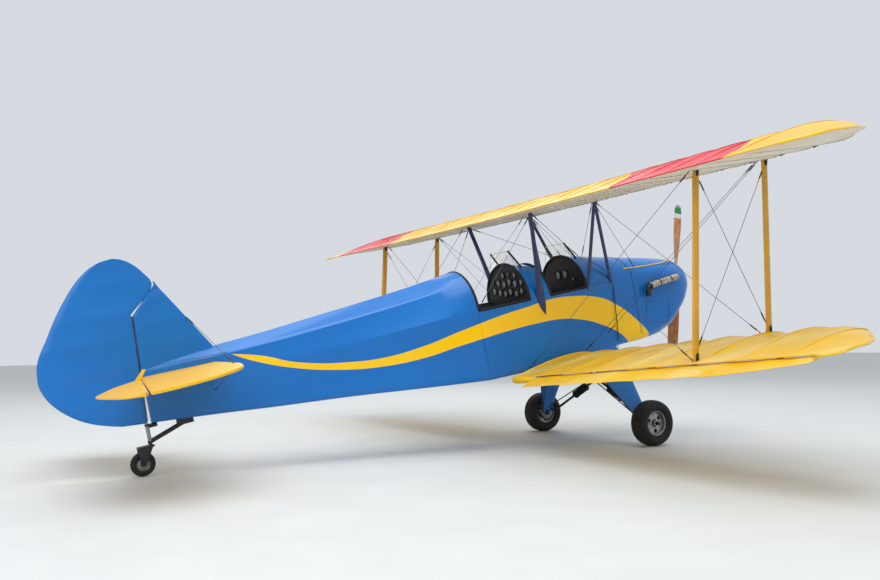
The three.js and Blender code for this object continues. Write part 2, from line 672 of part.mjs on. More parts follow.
const keel = vec(190, 0, 575);
function gearFrame() {
  const tubes = [-1, 1].map((side) => rod(vec(190, side * 300, 950), vec(190, side * 20, 585), 13, 8));
  return trim(join(...tubes, block(165, 215, -45, 45, 560, 600)), tubOuter, vec(0, 0, -1));
}
const frameSolid = add('gear_centre_frame', gearFrame(), black);

for (const { label, side } of sides) {
  const leg = add(`gear_leg_${label}`, cut(gearLeg(side), mirrored(wingAndGap, side)), blue);
  const low = vec(150, side * 700, 250);
  const high = vec(keel.x, side * 40, keel.z);
  const along = high.clone().sub(low);
  const packLow = low.clone().addScaledVector(along, 0.42);
  const packHigh = low.clone().addScaledVector(along, 0.68);
  const strut = join(rod(low, high, 11, 10), rod(packLow, packHigh, 36, 12));
  const clear = trim(strut, leg, vec(0, -side, 0), vec(0, 0, 1));
  add(`shock_strut_${label}`, trim(clear, frameSolid, vec(0, side, 0)), black);
}

// Wheels
const wheelSides = 36;
function tyreGeometry(wheel, bore) {
  const w = wheel.width / 2;
  const R = wheel.radius;
  const section = [[bore, -w * 0.62], [bore + (R - bore) * 0.35, -w * 0.95], [bore + (R - bore) * 0.7, -w * 0.88],
    [R - 6, -w * 0.5], [R, 0], [R - 6, w * 0.5], [bore + (R - bore) * 0.7, w * 0.88],
    [bore + (R - bore) * 0.35, w * 0.95], [bore, w * 0.62], [bore, -w * 0.62]];
  return new THREE.LatheGeometry(section.map(([r, y]) => new THREE.Vector2(r, y)), wheelSides);
}

function hubGeometry(wheel, bore) {
  const w = wheel.width / 2 * 0.62;
  const R = wheel.rim - seatGap;
  const section = [[bore, -w], [bore + 24, -w], [bore + 30, -w * 0.4], [R - 14, -w * 0.4], [R - 6, -w - 6],
    [R, -w - 6], [R, w + 6], [R - 6, w + 6], [R - 14, w * 0.4], [bore + 30, w * 0.4], [bore + 24, w], [bore, w],
    [bore, -w]];
  return new THREE.LatheGeometry(section.map(([r, y]) => new THREE.Vector2(r, y)), wheelSides);
}

for (const { label, side } of sides) {
  add(`tyre_${label}`, tyreGeometry(mainWheel, mainWheel.rim)
    .translate(mainWheel.x, side * mainWheel.halfTrack, mainWheel.z), rubber);
  add(`wheel_hub_${label}`, hubGeometry(mainWheel, axleRadius + 0.5)
    .translate(mainWheel.x, side * mainWheel.halfTrack, mainWheel.z), steel);
}

// Tail gear: an arm and a steering tube under the tail, and a turning fork with a small wheel
function tailLeg() {
  const bracket = block(-4140, -4010, -22, 22, 1214, 1290);
  const arm = fairedBar(vec(-4075, 0, 1232), vec(steering.x + 6, 0, steering.tubeBottom + 14), 40, 26);
  const tube = rod(vec(steering.x, 0, steering.tubeBottom), vec(steering.x, 0, steering.tubeTop), 15, 16);
  const tab = block(steering.x, -4290, -8, 8, 1250, 1282);
  const tabHead = block(-4328, -4290, -8, 8, 1270, 1300);
  const bore = rod(vec(steering.x, 0, steering.tubeBottom - 20), vec(steering.x, 0, steering.tubeTop - 20), 9.5, 16);
  return cut(join(bracket, arm, tube, tab, tabHead), bore);
}

function tailFork() {
  const top = steering.crownTop;
  const pivot = rod(vec(steering.x, 0, top - 5), vec(steering.x, 0, steering.tubeTop - 24), 9, 16);
  const crown = block(tailWheel.x - 20, steering.x + 22, -46, 46, top - 14, top);
  const plates = [-1, 1].map((side) => loft([38, 46].map((y) => [
    vec(tailWheel.x - 16, side * y, tailWheel.z - 16), vec(tailWheel.x + 20, side * y, tailWheel.z - 12),
    vec(steering.x + 10, side * y, top - 2), vec(tailWheel.x - 18, side * y, top - 2)])));
  const axle = rod(vec(tailWheel.x, -40, tailWheel.z), vec(tailWheel.x, 40, tailWheel.z), 8, 16);
  return join(pivot, crown, ...plates, axle);
}
add('tail_leg', trim(tailLeg(), rearHullSolid, vec(0, 0, -1)), black);
add('tail_fork', tailFork(), black);
add('tail_tyre', tyreGeometry(tailWheel, tailWheel.rim).translate(tailWheel.x, 0, tailWheel.z), rubber);
add('tail_wheel_hub', hubGeometry(tailWheel, 8.5).translate(tailWheel.x, 0, tailWheel.z), steel);

// Main stays: flying wires rise from the hull to the upper wing, landing wires fall from the cabane
const wireRadius = 3;
const wireTable = [
  ['front_flying_wire', vec(-180, 372, 985), vec(80, strutY - 60, 2500)],
  ['rear_flying_wire', vec(-900, 372, 965), vec(-680, strutY - 60, 2470)],
  ['front_landing_wire', vec(60, cabaneY + 30, 2500), vec(-200, strutY - 70, 1080)],
  ['rear_landing_wire', vec(-740, cabaneY + 30, 2470), vec(-990, strutY - 70, 1068)],
];
for (const { label, side } of sides) {
  for (const [name, from, to] of wireTable) {
    const mirror = vec(1, side, 1);
    const raw = rod(from.clone().multiply(mirror), to.clone().multiply(mirror), wireRadius, 8);
    let wire = trim(raw, upperPanels[label], vec(0, 0, -1));
    wire = trim(wire, upperCentre, vec(0, 0, -1));
    wire = trim(wire, lowerPanels[label], vec(0, 0, 1));
    add(`${name}_${label}`, trim(wire, tubOuter, vec(0, side, 0)), steel);
  }
}

// The turned aircraft stands on its wheels with its origin under the middle of its box
const parked = new THREE.Group();
parked.add(aircraft);
parked.updateMatrixWorld(true);
const box = new THREE.Box3().setFromObject(parked, true);
aircraft.position.set(-(box.min.x + box.max.x) / 2, 0, -box.min.z);

export default parked;
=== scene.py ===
"""An open-cockpit biplane: fabric wings and tail, painted fuselage, rigging, cockpits, propeller and gear."""
from math import atan2, cos, pi, radians, sin, sqrt, tan

import bmesh
import bpy
from mathutils import Matrix, Vector


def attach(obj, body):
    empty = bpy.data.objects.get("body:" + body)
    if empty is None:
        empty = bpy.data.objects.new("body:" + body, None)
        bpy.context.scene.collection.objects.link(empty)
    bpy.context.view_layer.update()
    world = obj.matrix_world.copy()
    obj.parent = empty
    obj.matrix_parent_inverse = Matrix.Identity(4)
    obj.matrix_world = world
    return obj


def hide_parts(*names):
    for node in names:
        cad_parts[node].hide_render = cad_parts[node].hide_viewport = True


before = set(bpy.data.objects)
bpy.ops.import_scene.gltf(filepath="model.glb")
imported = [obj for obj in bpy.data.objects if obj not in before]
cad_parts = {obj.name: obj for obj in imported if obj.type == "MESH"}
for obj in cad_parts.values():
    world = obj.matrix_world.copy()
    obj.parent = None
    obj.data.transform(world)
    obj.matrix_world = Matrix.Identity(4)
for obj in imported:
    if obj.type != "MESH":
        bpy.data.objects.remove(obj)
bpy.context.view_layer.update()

# Shapes are drawn with the aircraft level, +X to the nose, +Y to port, and are then parked nose-up.
PARKED_ANGLE = 0.1966895
PARKED_PLACE = (1.937427, 0.0, -0.000005)
PARKED = Matrix.Translation(PARKED_PLACE) @ Matrix.Rotation(-PARKED_ANGLE, 4, "Y")


def linked(name, data):
    """A new object in the scene."""
    thing = bpy.data.objects.new(name, data)
    bpy.context.scene.collection.objects.link(thing)
    return thing


# Camera at the photograph's viewing angle

CAMERA_PLACE = (-3.860437, -6.86, 0.989)
CAMERA_HEADING = 60.055
CAMERA_CLIMB = 3.886
CAMERA_ROLL = -0.765
LENS = 33.79

camera = linked("camera", bpy.data.cameras.new("camera"))
camera.data.lens = LENS
camera.data.sensor_width = 36.0
camera.data.clip_end = 200.0
camera.matrix_world = (
    Matrix.Translation(CAMERA_PLACE)
    @ Matrix.Rotation(radians(CAMERA_HEADING - 90), 4, "Z")
    @ Matrix.Rotation(radians(90 + CAMERA_CLIMB), 4, "X")
    @ Matrix.Rotation(radians(CAMERA_ROLL), 4, "Z")
)
bpy.context.scene.camera = camera


# Node trees, for materials and for geometry

class Value:
    """A node's output that Python's operators work on. Each operation adds one Math node."""

    def __init__(self, tree, socket):
        self.tree = tree
        self.socket = socket

    def math(self, operation, *others):
        return self.tree.node("ShaderNodeMath", (self, *others), operation=operation)

    def __add__(self, other):
        return self.math("ADD", other)

    def __sub__(self, other):
        return self.math("SUBTRACT", other)

    def __mul__(self, other):
        return self.math("MULTIPLY", other)

    def __truediv__(self, other):
        return self.math("DIVIDE", other)

    def __rsub__(self, other):
        return (self * -1.0).math("ADD", other)

    __radd__ = __add__
    __rmul__ = __mul__

    def above(self, other):
        return self.math("GREATER_THAN", other)

    def below(self, other):
        return self.math("LESS_THAN", other)

    def soft(self, low, high):
        """0 at low, 1 at high and smooth between them."""
        bounds = {"Value": self, "From Min": low, "From Max": high}
        return self.tree.node("ShaderNodeMapRange", bounds, interpolation_type="SMOOTHSTEP")


class Tree:
    """Adds nodes to a shader or geometry tree."""

    def __init__(self, nodes):
        self.nodes = nodes

    def node(self, kind, inputs=(), output=0, **settings):
        made = self.nodes.nodes.new(kind)
        for name, value in settings.items():
            setattr(made, name, value)
        pairs = inputs.items() if isinstance(inputs, dict) else enumerate(inputs)
        for name, value in pairs:
            self.join(made.inputs[name], value)
        return Value(self, made.outputs[output])

    def join(self, socket, value):
        if isinstance(value, Value):
            self.nodes.links.new(value.socket, socket)
        else:
            socket.default_value = value

    def other(self, value, output):
        """Another output of the node that a value comes from."""
        return Value(self, value.socket.node.outputs[output])

    def curve(self, value, points):
        """A number read off a smooth curve through (input, output) points."""
        (low, _), (high, _) = points[0], points[-1]
        heights = [height for _, height in points]
        base, span = min(heights), (max(heights) - min(heights)) or 1.0
        made = self.nodes.nodes.new("ShaderNodeFloatCurve")
        line = made.mapping.curves[0]
        spots = [((at - low) / (high - low), (height - base) / span) for at, height in points]
        for place, spot in zip(line.points, (spots[0], spots[-1])):
            place.location = spot
        for spot in spots[1:-1]:
            line.points.new(*spot)
        made.mapping.update()
        self.join(made.inputs["Value"], (value - low) / (high - low))
        return Value(self, made.outputs[0]) * span + base

    def blend(self, factor, low, high):
        """Mixes two colours."""
        return self.node("ShaderNodeMix", {0: factor, 6: low, 7: high}, output=2, data_type="RGBA")


def colour(red, green, blue):
    """A colour given as it looks on a screen, 0 to 255."""
    def linear(level):
        level /= 255
        return level / 12.92 if level <= 0.04045 else ((level + 0.055) / 1.055) ** 2.4
    return (linear(red), linear(green), linear(blue), 1.0)


class Finish(Tree):
    """A material with one Principled shader, read in the level aircraft's metres."""

    def __init__(self, name, **shader):
        self.material = bpy.data.materials.new(name)
        self.material.use_nodes = True
        super().__init__(self.material.node_tree)
        self.shader = self.nodes.nodes["Principled BSDF"]
        for socket, value in shader.items():
            self.shader.inputs[socket.replace("_", " ")].default_value = value
        place = self.node("ShaderNodeTexCoord", output="Object")
        self.level = self.node(
            "ShaderNodeMapping",
            {"Vector": place, "Location": PARKED_PLACE, "Rotation": (0.0, -PARKED_ANGLE, 0.0)},
            vector_type="TEXTURE",
        )
        self.x = self.node("ShaderNodeSeparateXYZ", [self.level])
        self.y = self.other(self.x, 1)
        self.z = self.other(self.x, 2)

    def noise(self, scale, detail=3.0, stretch=(1.0, 1.0, 1.0)):
        at = self.node("ShaderNodeVectorMath", {0: self.level, 1: stretch}, operation="MULTIPLY")
        return self.node("ShaderNodeTexNoise", {"Vector": at, "Scale": scale, "Detail": detail})

    def radius(self, across, up):
        """The distance from a middle of two values at right angles."""
        return (across.math("POWER", 2.0) + up.math("POWER", 2.0)).math("SQRT")

    def set(self, socket, value):
        self.join(self.shader.inputs[socket], value)
        return self

    def bump(self, height, distance, strength=1.0):
        raised = {"Height": height, "Distance": distance, "Strength": strength}
        return self.set("Normal", self.node("ShaderNodeBump", raised))


def shaded(tint, *factors):
    """A colour with its red, green and blue levels scaled, by one factor or by one each."""
    return tuple(level * factor for level, factor in zip(tint, factors * (3 // len(factors)))) + (1.0,)


def weathered(name, tint, roughness, grain=40.0, spread=0.08, **shader):
    """A painted or bare surface whose colour and gloss drift a little and which has a fine grain."""
    finish = Finish(name, **shader)
    drift = finish.noise(2.2)
    fine = finish.noise(grain, 5.0)
    finish.set("Base Color", finish.blend(drift.soft(0.3, 0.75), shaded(tint, 1 - spread * 2.2), tint))
    finish.set("Roughness", fine * 0.14 + (roughness - 0.07))
    finish.bump(fine, 0.0006, 0.35)
    return finish


# Shapes

def between(value, rows, column=1):
    """Reads a column of a table at a value of its first column, on a smooth line through the rows."""
    rows = sorted(rows)
    if value <= rows[0][0]:
        return rows[0][column]
    if value >= rows[-1][0]:
        return rows[-1][column]
    at = max(i for i, row in enumerate(rows) if row[0] <= value)

    def slope(i):
        if i in (0, len(rows) - 1):
            near = 1 if i == 0 else len(rows) - 1
            return (rows[near][column] - rows[near - 1][column]) / (rows[near][0] - rows[near - 1][0])
        before = (rows[i][column] - rows[i - 1][column]) / (rows[i][0] - rows[i - 1][0])
        after = (rows[i + 1][column] - rows[i][column]) / (rows[i + 1][0] - rows[i][0])
        return 0.0 if before * after <= 0 else 2 * before * after / (before + after)

    width = rows[at + 1][0] - rows[at][0]
    t = (value - rows[at][0]) / width
    a, b = rows[at][column], rows[at + 1][column]
    return (
        a * (2 * t**3 - 3 * t**2 + 1)
        + slope(at) * width * (t**3 - 2 * t**2 + t)
        + b * (3 * t**2 - 2 * t**3)
        + slope(at + 1) * width * (t**3 - t**2)
    )


def spread(low, high, count):
    """Evenly spaced numbers from low to high, both included."""
    return [low + (high - low) * i / (count - 1) for i in range(count)]


def smooth_path(points, count):
    """Points along a smooth curve through the given ones."""
    points = [Vector(p) for p in points]
    lengths = [0.0]
    for a, b in zip(points, points[1:]):
        lengths.append(lengths[-1] + (b - a).length)
    rows = [(at, *point) for at, point in zip(lengths, points)]
    return [Vector(between(at, rows, column) for column in (1, 2, 3)) for at in spread(0, lengths[-1], count)]


def circle(centre, across, up, radius, sides):
    """Points round a centre, in the plane of two directions."""
    turns = [2 * pi * k / sides for k in range(sides)]
    return [centre + (across * cos(t) + up * sin(t)) * radius for t in turns]


def to_side(point, side):
    """A point of the port side, or its mirror image when side is -1."""
    x, y, z = point
    return Vector((x, side * y, z))


class Shape:
    """Points and faces of a piece in metres, with the aircraft level."""

    def __init__(self):
        self.points = []
        self.faces = []
        self.finishes = []

    def add(self, points, faces, finish=0):
        base = len(self.points)
        self.points += [Vector(p) for p in points]
        self.faces += [tuple(base + i for i in face) for face in faces]
        self.finishes += [finish] * len(faces)
        return self

    def loft(self, rings, ends=(True, True), closed=True, finish=0):
        """A skin through rings of equal length, with a face over each end that is wanted."""
        size = len(rings[0])
        points = [p for ring in rings for p in ring]
        steps = size if closed else size - 1
        faces = [
            (r * size + i, r * size + (i + 1) % size, (r + 1) * size + (i + 1) % size, (r + 1) * size + i)
            for r in range(len(rings) - 1)
            for i in range(steps)
        ]
        if ends[0]:
            faces.append(tuple(reversed(range(size))))
        if ends[1]:
            faces.append(tuple(range((len(rings) - 1) * size, len(rings) * size)))
        return self.add(points, faces, finish)

    def tube(self, path, radius, sides=12, finish=0, ends=(True, True)):
        """A round tube along a path. The radius is a number or one number for each point."""
        path = [Vector(p) for p in path]
        radii = radius if isinstance(radius, (list, tuple)) else [radius] * len(path)
        across = None
        rings = []
        for i, point in enumerate(path):
            ahead = (path[min(i + 1, len(path) - 1)] - path[max(i - 1, 0)]).normalized()
            if across is None:
                across = ahead.orthogonal().normalized()
            across = (across - ahead * across.dot(ahead)).normalized()
            rings.append(circle(point, across, ahead.cross(across), radii[i], sides))
        return self.loft(rings, ends, finish=finish)

    def lathe(self, centre, axis, profile, sides=48, finish=0):
        """A turned form. The profile is (distance along the axis, radius) from end to end."""
        centre, axis = Vector(centre), Vector(axis).normalized()
        across = axis.orthogonal().normalized()
        up = axis.cross(across)
        rings = [circle(centre + axis * along, across, up, radius, sides) for along, radius in profile]
        open_ended = profile[0] != profile[-1]
        return self.loft(rings, (open_ended, open_ended), finish=finish)

    def fairing(self, stations, finish=0):
        """A streamlined bar. Each station is (place, chord, thickness); the chord lies fore and aft."""
        places = [Vector(place) for place, _, _ in stations]
        along = (places[-1] - places[0]).normalized()
        ahead = (Vector((1, 0, 0)) - along * along.x).normalized()
        aside = along.cross(ahead)
        rings = []
        for place, chord, thick in stations:
            ring = []
            for k in range(24):
                t = 2 * pi * k / 24
                forward = (0.46 * cos(t) - 0.04) * chord
                fullness = 1.0 if cos(t) > 0 else 1.0 - 0.45 * cos(t) ** 2
                ring.append(Vector(place) + ahead * forward + aside * (0.5 * sin(t) * fullness * thick))
            rings.append(ring)
        return self.loft(rings, finish=finish)

    def box(self, low, high, finish=0):
        (x0, y0, z0), (x1, y1, z1) = low, high
        ring = [(x0, y0), (x1, y0), (x1, y1), (x0, y1)]
        return self.loft([[(x, y, z) for x, y in ring] for z in (z0, z1)], finish=finish)

    def plate(self, outline, offset, finish=0):
        """A flat outline given a thickness by moving it along an offset."""
        return self.loft([outline, [Vector(p) + Vector(offset) for p in outline]], finish=finish)

    def mirrored(self):
        """The same shape on the other side of the aircraft."""
        other = Shape()
        other.points = [to_side(p, -1) for p in self.points]
        other.faces = [tuple(reversed(face)) for face in self.faces]
        other.finishes = list(self.finishes)
        return other

    def on(self, side):
        return self if side > 0 else self.mirrored()


SIDES = (("left", 1), ("right", -1))
# Straight out to port
ACROSS = (0, 1, 0)
# Radius at which a turned form's end closes
CLOSED = 0.0005
# Degrees between two faces from which their edge shows
SHARP = 38
# Points this near each other are one
SAME_POINT = 0.00002


def puck(depth, radius):
    """The profile of a plain turned disc."""
    return [(0, CLOSED), (0, radius), (depth, radius), (depth, CLOSED)]


def face_outwards(build):
    """Turns an open skin's faces away from the middle of what it encloses."""
    middle = sum((v.co for v in build.verts), Vector()) / len(build.verts)
    build.normal_update()
    if sum(f.normal.dot(f.calc_center_median() - middle) * f.calc_area() for f in build.faces) < 0:
        bmesh.ops.reverse_faces(build, faces=build.faces)


def as_mesh(thing):
    """The mesh that an object's modifiers make of it."""
    bpy.context.view_layer.update()
    return bpy.data.meshes.new_from_object(thing.evaluated_get(bpy.context.evaluated_depsgraph_get()))


def mounted(thing, body, replaces, sharp):
    """Applies a piece's modifiers, smooths its faces up to an angle and rides it on its body."""
    if thing.modifiers:
        applied = as_mesh(thing)
        thing.modifiers.clear()
        thing.data = applied
    thing.data.shade_smooth()
    thing.data.set_sharp_from_angle(angle=radians(sharp))
    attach(thing, body)
    if replaces:
        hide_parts(*replaces)


def piece(name, shape, finishes, body="airframe", replaces=(), sharp=SHARP, wall=0.0, bevel=0.0):
    """Makes a shape an object of the aircraft, parked, finished and riding on its body."""
    mesh = bpy.data.meshes.new(name)
    mesh.from_pydata(shape.points, [], shape.faces)
    finishes = finishes if isinstance(finishes, (list, tuple)) else [finishes]
    for finish in finishes:
        mesh.materials.append(finish.material)
    mesh.polygons.foreach_set("material_index", shape.finishes)
    build = bmesh.new()
    build.from_mesh(mesh)
    bmesh.ops.remove_doubles(build, verts=build.verts, dist=SAME_POINT)
    if wall:
        face_outwards(build)
    else:
        bmesh.ops.recalc_face_normals(build, faces=build.faces)
    build.to_mesh(mesh)
    build.free()
    mesh.transform(PARKED)
    thing = linked(name, mesh)
    if wall:
        solid = thing.modifiers.new("wall", "SOLIDIFY")
        solid.thickness, solid.offset, solid.use_even_offset = wall, -1.0, True
        solid.material_offset = len(finishes) - 1
    if bevel:
        edge = thing.modifiers.new("edge", "BEVEL")
        edge.width, edge.segments, edge.limit_method, edge.angle_limit = bevel, 2, "ANGLE", radians(40)
    mounted(thing, body, replaces, sharp)


# Colours and finishes

BLUE = colour(0, 110, 192)
DEEP_BLUE = colour(14, 44, 96)
STRIPE = colour(250, 198, 0)
YELLOW = colour(246, 200, 30)
PALE_YELLOW = colour(232, 184, 62)
RED = colour(206, 60, 66)
CREAM = colour(236, 236, 232)
OCHRE = colour(216, 160, 10)
BLACK = colour(24, 24, 26)

THRUST_Z = 1.390

# The side stripe's upper and lower edges, as (x, z)
STRIPE_TOP = [
    (-3.63, 1.69), (-3.42, 1.633), (-3.08, 1.497), (-2.71, 1.415), (-2.32, 1.377), (-1.97, 1.397),
    (-1.54, 1.462), (-1.11, 1.518), (-0.79, 1.541), (-0.50, 1.564), (-0.21, 1.543), (0.09, 1.478),
    (0.32, 1.359), (0.56, 1.151), (0.70, 0.98),
]
STRIPE_FOOT = [
    (-3.63, 1.69), (-3.49, 1.608), (-3.15, 1.466), (-2.79, 1.368), (-2.40, 1.306), (-1.99, 1.292),
    (-1.59, 1.325), (-1.11, 1.357), (-0.71, 1.363), (-0.43, 1.350), (-0.17, 1.296), (0.08, 1.195),
    (0.29, 1.071), (0.40, 0.95), (0.70, 0.55),
]

# Half the width over which the stripe's edge fades
STRIPE_EDGE = 0.0012


def gloss_paint(name, tint, striped=False):
    """Glossy dope over fabric, with faint waves where it is drawn over the frame and a little dust."""
    finish = Finish(name, Coat_Weight=0.3, Coat_Roughness=0.1, Roughness=0.3, Specular_IOR_Level=0.3)
    shade = finish.noise(1.1, 2.0)
    base = finish.blend(shade.soft(0.25, 0.8), shaded(tint, 0.86), tint)
    if striped:
        under = (finish.curve(finish.x, STRIPE_TOP) - finish.z).soft(-STRIPE_EDGE, STRIPE_EDGE)
        over = (finish.z - finish.curve(finish.x, STRIPE_FOOT)).soft(-STRIPE_EDGE, STRIPE_EDGE)
        stripe = under * over * finish.x.above(STRIPE_TOP[0][0]) * finish.x.below(STRIPE_TOP[-1][0])
        base = finish.blend(stripe, base, STRIPE)
    dust = finish.noise(30.0, 5.0)
    base = finish.blend(dust.soft(0.62, 0.9) * 0.10, base, colour(150, 150, 146))
    finish.set("Base Color", base)
    finish.set("Roughness", dust * 0.12 + 0.24)
    waves = finish.noise(2.6, 2.0, (1.0, 1.0, 2.0))
    weave = finish.noise(900.0, 2.0)
    finish.bump(waves + weave * 0.004, 0.006, 0.5)
    return finish


# The red bands' edges are measured from this far behind x = 0. Each edge has a lean and a place across.
BAND_START = 1.07
BANDS = (
    (0.54, -2.068, "LESS_THAN", 0.40, -3.178, "GREATER_THAN"),
    (0.94, 1.701, "GREATER_THAN", 0.94, 3.174, "LESS_THAN"),
)


def wing_fabric(name, tint, banded=False, glow=0.0, slack=0.0):
    """Doped wing fabric with slack diagonal folds, a painted pale sheen along the folds where wanted, and red
    bands where wanted.
    """
    finish = Finish(
        name, Coat_Weight=0.1, Coat_Roughness=0.25, Subsurface_Weight=glow, Specular_IOR_Level=0.25
    )
    drift = finish.noise(1.6, 3.0, (1.0, 0.6, 1.0))
    base = finish.blend(drift.soft(0.3, 0.8), shaded(tint, 0.93, 0.86, 0.7), tint)
    folds = finish.node(
        "ShaderNodeTexWave", {"Vector": finish.level, "Scale": 0.55, "Distortion": 5.0, "Detail": 2.0},
        wave_type="BANDS", bands_direction="DIAGONAL",
    )
    # Painted sheen: pale patches along the folds stand in for the sky's reflection on the taut fabric. Slack
    # sets their share and also deepens the folds' bump.
    if slack:
        base = finish.blend(folds.soft(0.4, 0.95) * slack, base, colour(244, 216, 124))
    if banded:
        ahead = finish.x + BAND_START
        starboard, port = (
            (finish.y - (ahead * in_lean + in_at)).math(inner, 0.0)
            * (finish.y - (ahead * out_lean + out_at)).math(outer, 0.0)
            for in_lean, in_at, inner, out_lean, out_at, outer in BANDS
        )
        base = finish.blend(starboard.math("MAXIMUM", port), base, RED)
    stain = finish.noise(7.0, 5.0)
    base = finish.blend(stain.soft(0.6, 0.95) * 0.12, base, colour(150, 120, 70))
    finish.set("Base Color", base)
    finish.set("Roughness", stain * 0.16 + 0.34)
    weave = finish.noise(700.0, 2.0)
    creases = finish.noise(5.0, 2.0, (0.7, 1.6, 1.0))
    finish.bump(folds * 0.5 + creases * 0.7 + weave * 0.003, 0.010 + 0.010 * slack, 0.45)
    return finish


# Radius at which each band of a propeller blade's tip starts
TIP_BANDS = ((0.762, colour(228, 228, 224)), (0.814, colour(38, 132, 62)), (0.882, colour(158, 160, 160)))


def polished_wood():
    """Laminated wood under varnish, with white, green and grey bands at the blades' tips."""
    finish = Finish("propeller_wood", Coat_Weight=0.7, Coat_Roughness=0.08)
    radius = finish.radius(finish.y, finish.z - THRUST_Z)
    grain = finish.noise(9.0, 6.0, (14.0, 2.0, 2.0))
    layers = (finish.x * 95.0).math("SINE").soft(-0.5, 0.5)
    base = finish.blend(grain.soft(0.3, 0.7), colour(182, 108, 54), colour(216, 146, 84))
    base = finish.blend(layers * 0.3, base, colour(150, 84, 42))
    for start, tint in TIP_BANDS:
        base = finish.blend(radius.above(start), base, tint)
    finish.set("Base Color", base)
    finish.set("Roughness", grain * 0.1 + 0.25)
    finish.bump(grain, 0.0006, 0.3)
    return finish


def heat_wrap():
    """Steel pipe bound in heat wrap, browned and silvery in turns."""
    finish = Finish("heat_wrap", Metallic=0.8)
    turns = (finish.x * 190.0 + finish.z * 60.0).math("SINE")
    patches = finish.noise(26.0, 5.0)
    base = finish.blend(patches.soft(0.3, 0.7), colour(150, 128, 108), colour(216, 208, 198))
    base = finish.blend(turns.soft(0.6, 1.0) * 0.6, base, colour(44, 36, 32))
    finish.set("Base Color", base)
    finish.set("Roughness", patches * 0.3 + 0.3)
    finish.bump(turns * 0.5 + patches, 0.004, 0.8)
    return finish


def tyre_rubber():
    """Dusty rubber."""
    finish = Finish("tyre_rubber")
    dust = finish.noise(24.0, 6.0)
    finish.set("Base Color", finish.blend(dust.soft(0.5, 0.95), colour(20, 20, 21), colour(62, 60, 56)))
    finish.set("Roughness", dust * 0.2 + 0.68)
    finish.bump(finish.noise(160.0, 4.0), 0.0008, 0.5)
    return finish


def woven(name, tint, rib=260.0):
    """Upholstery cloth with a cross weave."""
    finish = Finish(name, Sheen_Weight=0.25, Sheen_Roughness=0.5)
    across = (finish.y * rib * 2 * pi).math("SINE")
    along = ((finish.x + finish.z) * rib * 2 * pi).math("SINE")
    weave = across * along
    wear = finish.noise(9.0, 4.0)
    lighter = tuple(min(1.0, level * 1.5 + 0.01) for level in tint[:3]) + (1.0,)
    finish.set("Base Color", finish.blend(wear.soft(0.4, 0.8) * 0.6 + weave * 0.08, tint, lighter))
    finish.set("Roughness", wear * 0.1 + 0.8)
    finish.bump(weave * 0.5 + wear, 0.0012, 0.5)
    return finish


def clear_pane():
    """Clear plastic with a faint haze."""
    finish = Finish("clear_pane", Roughness=0.04, IOR=1.45, Transmission_Weight=1.0)
    haze = finish.noise(12.0, 4.0)
    finish.set("Base Color", finish.blend(haze, colour(236, 242, 244), colour(214, 224, 226)))
    finish.set("Roughness", haze.soft(0.5, 0.9) * 0.12 + 0.02)
    finish.set("Alpha", haze * 0.06 + 0.10)
    return finish


def dial_face():
    """A round instrument face: ticks, a hand and a pale hub, drawn from the place on the face."""
    finish = Finish("dial_face", Coat_Weight=1.0, Coat_Roughness=0.03, Roughness=0.4)
    spot = finish.node("ShaderNodeAttribute", attribute_name="dial_spot", output="Vector")
    across = finish.node("ShaderNodeSeparateXYZ", [spot], output=1)
    up = finish.other(across, 2)
    hand = finish.node("ShaderNodeAttribute", attribute_name="dial_hand", output="Fac")
    radius = finish.radius(across, up)
    turn = up.math("ARCTAN2", across)
    tick = (turn * 12.0).math("COSINE").above(0.86) * radius.above(0.72) * radius.below(0.92)
    sweep = (turn - hand).math("COSINE")
    needle = sweep.above(0.992) * radius.below(0.66) * radius.above(0.05)
    mark = tick.math("MAXIMUM", needle).math("MAXIMUM", radius.below(0.1))
    finish.set("Base Color", finish.blend(mark, colour(34, 34, 38), colour(240, 240, 236)))
    return finish


hull_blue = gloss_paint("hull_blue", BLUE, striped=True)
plain_blue = gloss_paint("plain_blue", BLUE)
cabane_blue = weathered("cabane_blue", DEEP_BLUE, 0.32, Coat_Weight=0.3)
upper_fabric = wing_fabric("upper_wing_fabric", PALE_YELLOW, banded=True)
under_fabric = wing_fabric("upper_wing_underside", CREAM, glow=0.1)
# The lower wing's fabric gets half of the painted pale sheen along its folds.
lower_fabric = wing_fabric("lower_wing_fabric", YELLOW, slack=0.5)
tail_fabric = wing_fabric("tail_fabric", colour(240, 190, 44))
edge_paint = weathered("yellow_edge_paint", YELLOW, 0.32, Coat_Weight=0.3)
strut_paint = weathered("strut_paint", OCHRE, 0.34, Coat_Weight=0.3)
under_tape = weathered("underside_tape", CREAM, 0.5)
black_paint = weathered("black_paint", BLACK, 0.42)
black_rubber = weathered("black_rubber", colour(16, 16, 17), 0.7)
panel_black = weathered("panel_black", colour(22, 22, 24), 0.6, grain=220.0)
cockpit_grey = weathered("cockpit_grey", colour(66, 68, 70), 0.6)
bare_steel = weathered("bare_steel", colour(150, 152, 154), 0.34, Metallic=1.0)
stay_steel = weathered("stay_steel", colour(96, 98, 102), 0.4, Metallic=0.9)
cast_alloy = weathered("cast_alloy", colour(128, 130, 132), 0.5, grain=160.0, Metallic=0.8)
wheel_alloy = weathered("wheel_alloy", colour(176, 178, 180), 0.32, grain=90.0, spread=0.2, Metallic=0.9)
white_paint = weathered("white_paint", colour(214, 214, 210), 0.4)
propeller_wood = polished_wood()
exhaust_wrap = heat_wrap()
rubber = tyre_rubber()
seat_cloth = woven("seat_cloth", colour(38, 34, 34))
webbing = woven("belt_webbing", colour(24, 40, 92), rib=420.0)
pane = clear_pane()
pane_edge = weathered("pane_edge", colour(214, 222, 224), 0.2, Coat_Weight=0.5)
dial_finish = dial_face()


# Surroundings

SKY = (0.90, 0.94, 1.0, 1.0)
SKY_STRENGTH = 0.75
FLOOR_REACH = 60
